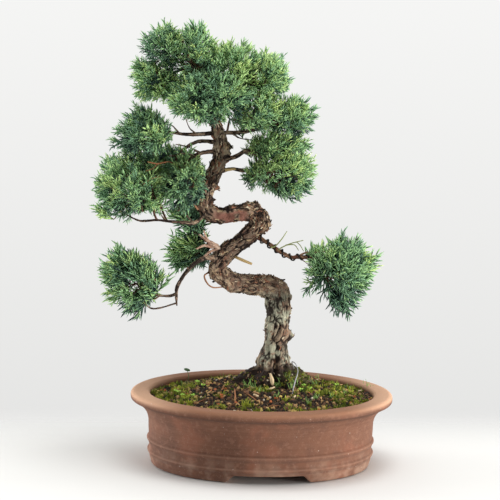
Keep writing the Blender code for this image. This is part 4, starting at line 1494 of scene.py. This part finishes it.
def spray_shape(seed):
    """A spray one long: points, faces and which faces are young tips."""
    rng = np.random.default_rng(seed)
    made = [cord(np.zeros(3), np.array((0.0, 0.0, 1.0)), 1.0, 0.04, 4, rng)]
    for i in range(SIDE_CORDS):
        at = 0.1 + 0.62 * (i + rng.uniform(-0.3, 0.3)) / (SIDE_CORDS - 1)
        roll = (i % 2) * math.pi + rng.normal(0, 0.75)
        lean = rng.uniform(0.3, 0.58)
        way = np.array((math.sin(lean) * math.cos(roll), math.sin(lean) * math.sin(roll),
                        math.cos(lean)))
        length = rng.uniform(0.85, 1.15) * (0.66 - 0.42 * at)
        start = np.array((0, 0, at))
        made.append(cord(start, way, length, 0.037, 3, rng))
        if i < FORKED:
            fork = unit(way + 0.55 * unit(rng.normal(0, 1, 3)) + (0, 0, 0.2))
            made.append(cord(start + way * length * 0.35, fork, length * 0.6, 0.034, 2, rng))
    points, faces = joined(made)
    return points / points[:, 2].max(), faces, np.concatenate([tip for _, _, tip in made]) > 0.6


SPRAYS = [spray_shape(900 + i) for i in range(8)]
print("faces in a spray:", [len(faces) for _, faces, _ in SPRAYS])

# %% [markdown]
# ## Growing the twigs
#
# Each mass of foliage grows from its own bough, or straight from the trunk.  The tips to be
# reached are strewn over the solid that gave the mass its place and through its inside.  They
# are taken from the nearest to the furthest, and each is joined to the point of the growing
# tree that it can reach by the shortest and least bent twig.  Thickness follows from the
# number of tips a twig feeds.

# %% Solids as arrays
def solid_of(name):
    """Corners and triangles of a solid of the frame, in millimetres."""
    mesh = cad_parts[name].data
    points = np.empty(len(mesh.vertices) * 3)
    mesh.vertices.foreach_get("co", points)
    world = np.array(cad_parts[name].matrix_world)
    points = points.reshape(-1, 3) @ world[:3, :3].T + world[:3, 3]
    mesh.calc_loop_triangles()
    corners = np.array([t.vertices[:] for t in mesh.loop_triangles])
    points, same = np.unique(from_world(points).round(2), axis=0, return_inverse=True)
    return points, same.reshape(-1)[corners]        # corners that share a place are made one


def surface_points(points, corners, apart, rng):
    """Points strewn over a surface no nearer than a distance, with their outward ways."""
    a, b, c = points[corners].transpose(1, 0, 2)
    normal = np.cross(b - a, c - a)
    area = np.linalg.norm(normal, axis=1)
    many = int(area.sum() / 2 / apart ** 2 * 6)
    pick = rng.choice(len(area), many, p=area / area.sum())
    u, v = np.sqrt(rng.random(many))[:, None], rng.random(many)[:, None]
    strewn = a[pick] * (1 - u) + b[pick] * u * (1 - v) + c[pick] * u * v
    kept = []
    for i, point in enumerate(strewn):
        if not kept or np.linalg.norm(strewn[kept] - point, axis=1).min() > apart:
            kept.append(i)
    return strewn[kept], unit(normal[pick[kept]])


def standing_out(points, corners, middle):
    """Corners of a solid that stand further out than all their neighbours."""
    far = np.linalg.norm(points - middle, axis=1)
    highest = np.zeros(len(points))
    for a, b in ((0, 1), (1, 2), (2, 0)):
        np.maximum.at(highest, corners[:, a], far[corners[:, b]])
        np.maximum.at(highest, corners[:, b], far[corners[:, a]])
    return np.flatnonzero(far > highest + 0.4)


# %% A growing tree
BEND_COST, JOIN_COST, TWIG_STEP, BOW = 0.75, 2.5, 2.6, 0.55


class Twigs:
    """A growing tree of points, each with the point before it."""

    def __init__(self, line):
        """Starts from a line of points that is already there."""
        self.points = [np.array(point) for point in line]
        self.before = [max(0, i - 1) for i in range(len(line))]
        self.ways = list(unit(np.diff(line, axis=0, append=2 * line[-1:] - line[-2:-1])))
        self.rooted = len(line)
        self.tips = []
        self.lines = []

    def reach(self, goal, way, held=1.0):
        """Grows a twig to a goal so that it arrives pointing one way, and returns its end."""
        points = np.array(self.points)
        gap = goal - points
        far = np.linalg.norm(gap, axis=1)
        turn = 1 - (gap * np.array(self.ways)).sum(1) / np.maximum(far, 0.1)
        cost = far * (1 + BEND_COST * turn) + JOIN_COST
        cost[:self.rooted] *= held
        start = int(cost.argmin())
        first, length = self.points[start], far[start]
        steps = max(2, round(length / TWIG_STEP))
        t = (np.arange(1, steps + 1) / steps)[:, None]
        leave = unit(0.6 * self.ways[start] + 0.7 * unit(gap[start]))
        bow = BOW * length
        line = ((2 * t ** 3 - 3 * t ** 2 + 1) * first + (t ** 3 - 2 * t ** 2 + t) * leave * bow
                + (3 * t ** 2 - 2 * t ** 3) * goal + (t ** 3 - t ** 2) * way * bow)
        chain = [start]
        for point in line:
            self.ways.append(unit(point - self.points[chain[-1]]))
            self.before.append(chain[-1])
            self.points.append(point)
            chain.append(len(self.points) - 1)
        self.tips.append(chain[-1])
        self.lines.append(chain)
        return line[-1]

    def loads(self):
        """How many tips each point feeds."""
        load = np.zeros(len(self.points))
        load[self.tips] = 1
        for i in range(len(self.points) - 1, self.rooted - 1, -1):
            load[self.before[i]] += load[i]
        return load


# %% [markdown]
# ## Tones of green
#
# Light falls from above, and old foliage inside a mass is darker and bluer than the new growth
# at its edge.  So each spray gets one of the first five of six plain greens by how deep it
# sits (darker, partly old foliage and partly painted shade), how much it looks up (lighter, a
# painted highlight), its mass's painted shift, a slow noise that gives patches, and chance.
# On two sprays of five the tips of the cords get the next lighter green.

# %% Tones of green
GREENS = ((0.031, 0.062, 0.054), (0.083, 0.163, 0.115), (0.17, 0.322, 0.184),
          (0.278, 0.475, 0.222), (0.405, 0.595, 0.232), (0.54, 0.7, 0.25))
GREENS = [plain_finish("foliage_tone_%d" % i, colour, 0.6) for i, colour in enumerate(GREENS)]
BOX_LOW, BOX_HIGH = (from_world(corner) for corner in cad_box)
YOUNG_SHARE = 0.4


def turned_to(ways, rolls):
    """Matrices that turn the spray's own up to each way, rolled by an angle."""
    side = unit(np.cross(ways, np.where(np.abs(ways[:, 2:]) > 0.9, (1.0, 0, 0), (0, 0, 1.0))))
    up = np.cross(ways, side)
    cos, sin = np.cos(rolls)[:, None], np.sin(rolls)[:, None]
    return np.stack((side * cos + up * sin, up * cos - side * sin, ways), 2)


def foliage_piece(name, node_name, places, ways, sizes, tones, rng):
    """One mesh of sprays at places in millimetres."""
    kinds = rng.integers(0, len(SPRAYS), len(places))
    turns = turned_to(ways, rng.uniform(0, WHOLE_TURN, len(places)))
    points, faces, slots, at = [], [], [], 0
    for kind, (shape, corners, tip) in enumerate(SPRAYS):
        mine = np.flatnonzero(kinds == kind)
        made = (np.einsum("nij,pj->npi", turns[mine], shape) * sizes[mine, None, None]
                + places[mine, None])
        points.append(made.reshape(-1, 3))
        faces.append((corners[None] + (np.arange(len(mine)) * len(shape))[:, None, None]
                      + at).reshape(-1, 3))
        young = rng.random((len(mine), 1)) < YOUNG_SHARE
        slots.append(np.clip(tones[mine, None] + (young & tip), 0, len(GREENS) - 1).ravel())
        at += len(points[-1])
    piece = mesh_object(name, np.clip(np.concatenate(points), BOX_LOW, BOX_HIGH),
                        np.concatenate(faces))
    for finish in GREENS:
        piece.data.materials.append(finish)
    piece.data.polygons.foreach_set("material_index", np.concatenate(slots).astype(np.int32))
    return finished(piece, "foliage", node_name)


# %% [markdown]
# ## The masses
#
# The crown is nineteen masses in tiers.  The table says what carries each one, how much of it
# stays open to the sky and how much painted light or painted shade shifts its green: the right
# and the left flank of the crown face the light and are painted brighter, while the shoulder,
# the back and the inside are painted deeper.

# %% The masses
# carried by, share left open, and a painted light shift of the tone (below zero, painted shade)
MASSES = {
    "mass_crest": ("trunk", 0.04, 0.2), "mass_crown_left": ("trunk", 0.06, 0.65),
    "mass_top": ("trunk", 0.03, 0.0), "mass_top_middle": ("trunk", 0.03, 0.1),
    "mass_top_right": ("trunk", 0.03, 0.35),
    "mass_crown_right": ("bough_right_top", 0.03, 0.4),
    "mass_shoulder": ("bough_right_top", 0.05, -0.75),
    "mass_crown_front": ("trunk", 0.1, -0.1), "mass_crown_back": ("trunk", 0.06, -0.2),
    "mass_right_upper": ("bough_right_upper", 0.06, 0.3),
    "mass_right_lower": ("bough_right_cut", 0.14, 0.4),
    "mass_left_upper": ("bough_left_top", 0.06, -0.4),
    "mass_left_main": ("bough_low_left", 0.1, 0.2),
    "mass_left_inner": ("bough_left_front", 0.1, 0.1),
    "mass_left_back": ("bough_left_back", 0.08, -0.3),
    "mass_inner_top": ("bough_inner", 0.12, -0.4),
    "mass_inner_low": ("bough_inner", 0.16, -0.2),
    "mass_ball": ("bough_ball", 0.18, -0.1), "mass_right": ("bough_right_wired", 0.4, -0.05),
}
APART, SPRAY_LONG = 6.3, 14.0
# the side on which a mass is most open; others thin out downwards and towards their bough
THIN_TOWARDS = {"mass_right": (-1.4, 0, -1.0), "mass_right_lower": (-0.8, 0, -0.6)}
# masses whose sprays run longer than the rest
LONGER = {"mass_inner_low": 1.35, "mass_inner_top": 1.25, "mass_right": 1.35,
          "mass_ball": 1.22}
# single tufts that fill in between masses or hang free: tip, way, length and how deep in tone
TUFTS_OUT = {
    "mass_left_upper": (
        (-101.5, -6, 284.4, -0.35, 0, 1, 19, 1.3), (-108.3, -6, 281.2, -0.6, 0, 1, 17, 1.3),
        (-112.1, -6, 278.1, -0.8, 0, 0.9, 15, 1.2), (-89.2, -6, 280.1, -0.1, 0, 1, 17, 1.3),
        (-81.7, -8, 250.5, 0.2, -0.3, 0.6, 13, 0.5), (-93.6, -16, 250.5, 0, -0.6, 0.6, 14, 0.3),
        (-103.4, -16, 245.7, -0.2, -0.7, 0.3, 14, 0.3),
        (-114.7, -16, 243.5, -0.5, -0.5, 0.2, 14, 0.2)),
    "mass_left_main": (
        (-131.4, -16, 239.6, -0.8, -0.3, 0.6, 15, 0), (-122.4, -16, 246.4, -0.6, -0.3, 0.8, 15, 0),
        (-108, -20, 238, -0.3, -0.7, 0.7, 15, 0.3), (-99, -24, 233, 0, -0.7, 0.6, 14, 0.5),
        (-96, -26, 222, 0.1, -0.8, 0.5, 14, 0.3), (-95, -24, 210, 0.2, -0.8, 0.2, 14, 0.4),
        (-103, -28, 228, -0.2, -0.8, 0.5, 15, 0)),
    "mass_left_inner": (
        (-74, -12, 252, -0.3, -0.3, 0.9, 14, 0.2), (-67, -12, 253, 0, -0.3, 1, 15, 0.1),
        (-60.5, -11, 255, 0.3, -0.2, 1, 16, 0), (-79.1, -12, 247, -0.4, -0.4, 0.8, 14, 0.4),
        (-55, -12, 247, 0.5, -0.4, 0.8, 14, 0), (-51, -12, 238, 0.7, -0.5, 0.5, 14, 0),
        (-49, -10, 228, 0.8, -0.5, 0.3, 13, 0), (-64, -14, 246, 0.2, -0.5, 0.8, 14, 0.2),
        (-90, -20, 226, -0.5, -0.7, 0.5, 14, 0.5), (-88, -20, 215, -0.5, -0.8, 0.2, 14, 0.4)),
    "mass_right": (
        (33.5, -14, 140.8, -0.7, -0.2, -0.7, 17, 0.1),
        (40.1, -14, 132.9, -0.5, -0.2, -0.9, 18, 0.2),
        (48.2, -14, 126.7, -0.35, -0.2, -1, 18, 0.1),
        (56.4, -13, 120.6, -0.2, -0.2, -1, 19, 0.2), (64.4, -12, 117.5, 0, -0.2, -1, 19, 0),
        (30.3, -13, 164.4, -0.9, -0.2, 0.1, 16, 0), (34, -14, 152, -0.9, -0.2, -0.3, 15, 0.1)),
    "mass_crown_front": (
        (-67.7, -6, 277.3, -0.6, -0.4, -0.6, 13, 0.4),
        (-58.4, -6, 274.5, -0.3, -0.5, -0.7, 13, 0.6),
        (-21.3, -6, 272.2, 0.3, -0.5, -0.7, 13, 0.4)),
}
SOLIDS = {name: solid_of(name) for name in MASSES}
SOLID_TREES = {name: BVHTree.FromPolygons(points.tolist(), corners.tolist())
               for name, (points, corners) in SOLIDS.items()}
print("masses:", len(MASSES), "with", sum(map(len, TUFTS_OUT.values())), "single tufts")

# %% [markdown]
# ## Where the sprays go
#
# The tips of a mass are its outermost corners and points strewn between them.  A noise leaves
# some places empty, most of all below and towards the bough, so the sky shows through.  Where
# another mass stands close by, fewer tips are set and they reach a little further, so the two
# grow together without a wall of foliage between them.

# %% Tips of a mass
LENGTHS, LENGTH_SHARES = (0.8, 0.95, 1.15, 1.5), (0.26, 0.34, 0.28, 0.12)
NEIGHBOUR = 20.0                        # other masses further off than this don't matter


def outer_tips(name, hub, openness, seed, rng):
    """Tips on the outside of a mass and the ways they point, fanning out from a hub."""
    points, corners = SOLIDS[name]
    low, high = points.min(0), points.max(0)
    middle = (low + high) / 2
    out_tips = points[standing_out(points, corners, middle)]
    goals, normals = surface_points(points, corners, APART, rng)
    near_tip = np.linalg.norm(goals[:, None] - out_tips, axis=2).min(1) < 0.8 * APART
    goals = np.concatenate((out_tips, goals[~near_tip]))
    normals = np.concatenate((unit(out_tips - middle), normals[~near_tip]))
    others = [tree for other, tree in SOLID_TREES.items() if other != name]
    beside = np.array([min((tree.find_nearest(Vector(goal), NEIGHBOUR)[3] or NEIGHBOUR)
                           for tree in others) for goal in goals])
    holes = noise(goals, 13, seed) + 0.4 * noise(goals, 6, seed + 1)
    thin = THIN_TOWARDS.get(name, 0.4 * unit(hub - middle) + (0, 0, -0.4))
    holes -= 1.3 * ((goals - middle) / (high - low)).dot(thin)
    full = (holes >= np.quantile(holes, openness)) | (np.arange(len(goals)) < len(out_tips))
    keep = full & ((beside > 3.5) | (rng.random(len(goals)) < 0.6))
    goals, normals, beside = goals[keep], normals[keep], beside[keep]
    ways = unit(0.45 * normals + 0.9 * unit(goals - hub) + (0, 0, 0.24)
                + rng.normal(0, 0.2, normals.shape))
    reach = rng.uniform(-4.0, 2.0, len(goals)) + 6.0 * np.exp(-beside / 7)
    return goals + ways * reach[:, None], ways


def tips_of(name, hub, openness, seed, rng):
    """All tips of a mass: a table of their places, ways, lengths and how deep in tone."""
    goals, ways = outer_tips(name, hub, openness, seed, rng)
    long = (SPRAY_LONG * LONGER.get(name, 1.0)
            * rng.choice(LENGTHS, len(goals), p=LENGTH_SHARES))
    middle = (SOLIDS[name][0].min(0) + SOLIDS[name][0].max(0)) / 2
    inner = goals[rng.random(len(goals)) < 0.25]
    inner = middle + (inner - middle) * rng.uniform(0.5, 0.78, (len(inner), 1))
    inner_ways = unit(unit(inner - hub) + rng.normal(0, 0.35, inner.shape) + (0, 0, 0.15))
    single = np.array(TUFTS_OUT.get(name, ()), float).reshape(-1, 8)
    single[:, 3:6] = unit(single[:, 3:6])
    many = len(inner)
    return np.concatenate((np.c_[goals, ways, long, np.zeros(len(goals))],
                           np.c_[inner, inner_ways, np.full(many, SPRAY_LONG), np.ones(many)],
                           single))


# %% Growing a mass
def carrier_line(carried_by, low, high):
    """The part of the trunk or of a bough that a mass may grow from."""
    on_trunk = carried_by == "trunk"
    line = TRUNK_PATH[::3, :3] if on_trunk else smooth_path(BOUGHS[carried_by], 2.0)[:, :3]
    room = 4.0 if on_trunk else 6.0
    inside = ((line > low - room) & (line < high + room)).all(1)
    if inside.sum() < 3:
        inside[:] = False
        inside[np.linalg.norm(line - (low + high) / 2, axis=1).argsort()[:6]] = True
    return line[inside]


def grow_mass(name, carried_by, openness, seed):
    """The twigs of a mass, and a table of its sprays with place, way, size and depth."""
    rng = np.random.default_rng(seed)
    low, high = SOLIDS[name][0].min(0), SOLIDS[name][0].max(0)
    middle = (low + high) / 2
    twigs = Twigs(carrier_line(carried_by, low, high))
    start = twigs.points[0]
    hub = middle + 0.75 * (start - middle) * min(1, 26 / np.linalg.norm(start - middle))
    tips = tips_of(name, hub, openness, seed, rng)
    held = 1.0
    if carried_by == "trunk":       # a leader first, so that not all twigs leave the trunk
        twigs.reach(middle + (0, 0, -2.0), unit(middle - start + (0, 0, 4.0)))
        twigs.tips.clear()
        held = 1.5
    ends = tips[:, :3] - tips[:, 3:6] * tips[:, 6:7] * 0.95
    sprays = []
    for i in np.linalg.norm(ends - start, axis=1).argsort():
        way, long, depth = tips[i, 3:6], tips[i, 6], tips[i, 7]
        place = twigs.reach(ends[i], way, held)
        sprays.append((*place, *way, long, depth))
        for _ in range(2):
            turn = unit(np.cross(way, rng.normal(0, 1, 3)))
            lean = rng.uniform(0.45, 0.8)
            aside = unit(way * math.cos(lean) + turn * math.sin(lean) + (0, 0, 0.12))
            sprays.append((*place, *aside, long * rng.uniform(0.7, 0.95), depth))
    return twigs, np.array(sprays)


def twig_tubes(twigs):
    """Four-sided tapering tubes along every twig of a tree."""
    points, load = np.array(twigs.points), twigs.loads()
    radius = np.minimum(0.3 * np.maximum(load, 1) ** 0.4, 0.85)
    for chain in twigs.lines:
        wide = np.r_[radius[chain[1]], radius[chain[1:]]]
        wide[-1] = 0.28
        path = np.c_[points[chain], 2 * wide]
        yield capped(tube(path, 4)[0], path)


# %% The crown
twig_parts, sprays_made, leaves_made = [], 0, 0
for seed, (name, (carried_by, openness, painted_light_shift)) in enumerate(MASSES.items()):
    twigs, sprays = grow_mass(name, carried_by, openness, 300 + seed)
    places, ways, sizes, depths = sprays[:, :3], sprays[:, 3:6], sprays[:, 6], sprays[:, 7]
    rng = np.random.default_rng(600 + seed)
    patch = noise(places, 15, 31) + 0.7 * noise(places, 6, 32)
    # painted light: sprays that look up are lighter, deep ones darker (partly old foliage), and
    # each mass takes its painted shift
    tones = (2.35 + painted_light_shift + 1.15 * patch + 0.9 * ways[:, 2] - 1.7 * depths
             + rng.normal(0, 0.5, len(places)))
    tones = np.clip(np.round(tones), 0, 4).astype(int)
    piece = foliage_piece("foliage_" + name[5:], name, places, ways, sizes, tones, rng)
    twig_parts += twig_tubes(twigs)
    sprays_made += len(places)
    leaves_made += triangles(piece)
finished(joined_piece("twigs", twig_parts), "bark",
         finish=plain_finish("twig_wood", (0.1, 0.055, 0.034), 0.8))
print("sprays:", sprays_made, "with", leaves_made, "triangles")

# %% [markdown]
# ## Moss
#
# Moss covers the mix in patches, thickest towards the front and the right.  It is a crowd of
# tiny cushions, each a handful of short spikes standing off a point.  The first scattering tree
# lays them where the soil is marked as mossy, nearly upright this time, in three greens.  The
# same cushions, smaller, climb the foot of the trunk, and grit lies between its roots.

# %% Moss and the grit at the foot
SPIKES, SPIKE_LONG, SPREAD, SPIKE_WIDE = 13, 2.6, 0.8, 0.55


def cushion(index):
    """A cushion of three-sided spikes that fan out from one point."""
    rng = np.random.default_rng(40 + index)
    lean = np.c_[rng.normal(0, SPREAD, (SPIKES, 2)), np.ones(SPIKES)]
    root = np.c_[lean[:, :2] * 1.1, np.full(SPIKES, -0.3)]
    turn = np.arange(3) * THIRD_TURN
    ring = np.stack((np.cos(turn), np.sin(turn), 0 * turn), 1) * SPIKE_WIDE
    tip = root + unit(lean) * SPIKE_LONG * rng.uniform(0.6, 1.0, (SPIKES, 1))
    points = np.concatenate(((root[:, None] + ring).reshape(-1, 3), tip))
    faces = [(3 * i + j, 3 * i + (j + 1) % 3, 3 * SPIKES + i)
             for i in range(SPIKES) for j in range(3)]
    return small_shape(f"cushion_{index}", points, faces)


CUSHIONS = shape_set("cushions", [cushion(i) for i in range(4)])
for seed, (tone, colour, many, sizes) in enumerate((
        ("deep", (0.07, 0.11, 0.02), 50000.0, (0.6, 1.4)),
        ("olive", (0.22, 0.25, 0.035), 48000.0, (0.7, 1.8)),
        ("lime", (0.42, 0.46, 0.06), 28000.0, (0.6, 1.75)))):
    green = plain_finish("moss_" + tone, colour)
    scatter("moss_" + tone, "soil", 11 + seed, green, CUSHIONS, "mossy", many, sizes, 0.5)
    scatter("foot_moss_" + tone, "soil", 21 + seed, green, CUSHIONS, "mossy", many * 1.3,
            (0.4, 0.9), 0.6, TRUNK_PIECE)
for seed, (tone, many) in enumerate((("dark", 120000.0), ("brown", 70000.0), ("tan", 26000.0),
                                     ("pale", 9000.0)), 31):
    scatter("foot_grit_" + tone, "soil", seed, GRIT[tone], PEBBLES, "gritty", many,
            (0.35, 1.1), body=TRUNK_PIECE)

# %% [markdown]
# ## Small growth and litter
#
# A few things stand alone on the soil: grassy sprouts in tufts, seedlings with three round
# leaves, one leaf on a long stalk, dropped twiglets and small chips of wood, with two larger
# pale ones at the foot of the trunk.  Each is built where it stands, and a ray straight down
# finds the soil under it.

# %% Sprouts
SOIL_TREE = BVHTree.FromObject(SOIL_BODY, bpy.context.evaluated_depsgraph_get())


def ground(x, y):
    """Height of the soil at a place, in millimetres."""
    top = Vector(to_world((x, y, 90)))
    hit = SOIL_TREE.ray_cast(top, Vector((0, 0, -1)))[0]
    return hit.z / MM if hit else SOIL_EDGE


def thin_part(stations, sides=3):
    """One thin tube."""
    path = smooth_path(stations, 2.2)
    return capped(tube(path, sides)[0], path)


def tuft_parts(x, y, blades, tall, seed):
    """Blades of grass that lean out from one spot."""
    rng = np.random.default_rng(seed)
    for _ in range(blades):
        dx, dy = rng.normal(0, 1.6, 2)
        lean_x, lean_y = rng.normal(0, 0.35, 2) * tall
        z, high = ground(x + dx, y + dy) - 0.5, tall * rng.uniform(0.6, 1.15)
        yield thin_part([(x + dx + lean_x * out, y + dy + lean_y * out, z + high * up, wide)
                         for out, up, wide in ((0, 0, 0.6), (0.4, 0.6, 0.5), (1, 1, 0.2))])


def litter(name, slot, colour_name, colour, parts):
    finished(joined_piece(name, parts), slot, finish=plain_finish(colour_name, colour))


TUFTS = ((-13, -8, 7, 10), (-8, -14, 6, 8), (-4, -22, 5, 6), (14, -6, 7, 9), (18, -2, 6, 11),
         (22, -14, 6, 7), (88, 18, 5, 9), (86, 24, 4, 7), (38, -30, 6, 5), (30, -38, 7, 5),
         (52, -22, 5, 6), (64, -8, 5, 6), (-40, -38, 4, 4), (70, 10, 4, 5), (44, 4, 5, 7),
         (26, -4, 6, 8), (8, -30, 5, 5), (-74, -2, 4, 4), (-60, 22, 4, 5), (48, 38, 5, 6),
         (-30, 42, 4, 5), (10, 48, 5, 6), (-66, 30, 3, 5), (74, -18, 4, 4))
litter("sprouts", "foliage", "sprout_green", (0.19, 0.33, 0.09),
       [part for seed, row in enumerate(TUFTS, 70) for part in tuft_parts(*row, seed)])


# %% Seedlings and the stalked leaf
def leaf_disc(middle, up, long, wide, seed):
    """A small cupped leaf with ten points round its rim."""
    rng = np.random.default_rng(seed)
    side = unit(np.cross(up, rng.normal(0, 1, 3)))
    ahead = np.cross(up, side)
    turn = np.linspace(0, WHOLE_TURN, 10, endpoint=False)
    ring = (middle + side * (np.cos(turn) * long / 2)[:, None]
            + ahead * (np.sin(turn) * wide / 2)[:, None])
    faces = [(i, (i + 1) % 10, 10) for i in range(10)]
    faces += [((i + 1) % 10, i, 11) for i in range(10)]
    return np.concatenate((ring, [middle + up * 0.05, middle - up * 0.25])), np.array(faces), {}


SEEDLINGS = ((-67, -5, 3.5), (-68.5, 3, 2.5), (-51, 9, 4.5), (-47, 3, 2.5), (-64, -12, 2.2),
             (32, -8, 3.5), (36, -14, 2.5), (60, 6, 3.0), (28, -18, 2.5), (-56, -16, 2.0))
seedling_parts = []
for seed, (x, y, tall) in enumerate(SEEDLINGS):
    rng = np.random.default_rng(90 + seed)
    z = ground(x, y)
    seedling_parts.append(thin_part(((x, y, z - 0.5, 0.6), (x + 0.2, y, z + tall / 2, 0.5),
                                     (x, y, z + tall, 0.5))))
    for turn in rng.uniform(0, 6.28) + np.array((0, 2.1, 4.2)):
        way = np.array((math.cos(turn), math.sin(turn), 0))
        seedling_parts.append(leaf_disc(np.array((x, y, z + tall)) + way * 1.2,
                                        unit((0, -0.45, 0.9) - way * 0.3), 2.1, 1.8,
                                        seed * 5 + int(turn)))
litter("seedlings", "foliage", "seedling_green", (0.36, 0.6, 0.09), seedling_parts)

z = ground(-58, 20)
litter("stalked_leaf", "foliage", "stalked_leaf_green", (0.09, 0.16, 0.07),
       [thin_part(((-58.3, 20, z - 0.5, 0.7), (-57.2, 24, z + 7, 0.6), (-58, 29, 68, 0.5))),
        leaf_disc(np.array((-58.0, 29.5, 68.4)), unit(np.array((0.1, -0.5, 0.85))), 5.4, 3.6, 7)])


# %% Twiglets and chips
def lying(x, y, bearing, long, thick, rise):
    """Stations of a straight thing that lies on the soil."""
    turn = math.radians(bearing)
    places = [(x + long * t * math.cos(turn), y + long * t * math.sin(turn))
              for t in (-0.5, 0, 0.5)]
    return [(px, py, ground(px, py) + rise * lift, thick * wide)
            for (px, py), lift, wide in zip(places, (0.4, 1.0, 1.3), (1.0, 0.9, 0.6))]


# place, bearing, length, thickness and how far each lies off the soil
TWIGLETS = (
    (-24, -26, 86, 24, 1.5, 1.4), (-11, -30, 118, 22, 1.2, 1.2), (-32, -8, 70, 12, 1.3, 1.0),
    (-70, 18, 100, 9, 1.3, 1.0), (-86, 22, 130, 9, 1.8, 1.2), (-40, 6, 150, 12, 1.1, 1.0),
    (56, -26, 20, 14, 1.0, 1.0), (24, 40, 10, 18, 1.2, 1.0), (-20, 46, 165, 15, 1.1, 1.0),
    (72, 6, 80, 10, 1.0, 1.0), (-52, -30, 40, 10, 1.0, 1.0), (2, -46, 5, 12, 1.0, 1.0))
CHIPS = (
    (-86, 14, 20, 6, 1.9, 1.2), (-43, -14, 30, 3.5, 2.2, 1.2), (-8, -28, 160, 4, 2.4, 1.3),
    (-28, 4, 140, 4, 1.4, 1.2), (22, -30, 60, 3, 2.1, 1.2), (66, 22, 15, 4, 2.0, 1.2),
    (80, 12, 30, 5, 2.4, 1.3), (74, -2, 100, 4, 1.8, 1.2), (46, 22, 30, 4, 1.6, 1.2),
    (34, 18, 10, 4, 1.7, 1.2), (-24, 34, 0, 4, 1.8, 1.2), (-2, 52, 40, 4, 1.8, 1.2))
PALE_AT_FOOT = (((7, -9, 65, 1.4), (6.4, -9.5, 69, 3.4), (5, -8, 74.5, 1.2)),
                ((2, -15, 62.5, 0.8), (5, -15.5, 63.8, 1.8), (8.5, -14.5, 65, 0.6)))
litter("dropped_twiglets", "bark", "dry_twig", (0.34, 0.15, 0.07),
       [thin_part(lying(*row), 5) for row in TWIGLETS])
litter("tan_chips", "soil", "tan_chip", (0.46, 0.29, 0.13),
       [thin_part(lying(*row), 4) for row in CHIPS[1::2]])
litter("pale_chips", "soil", "pale_chip", (0.62, 0.48, 0.3),
       [thin_part(lying(*row), 4) for row in CHIPS[::2]]
       + [thin_part(stations, 7) for stations in PALE_AT_FOOT])
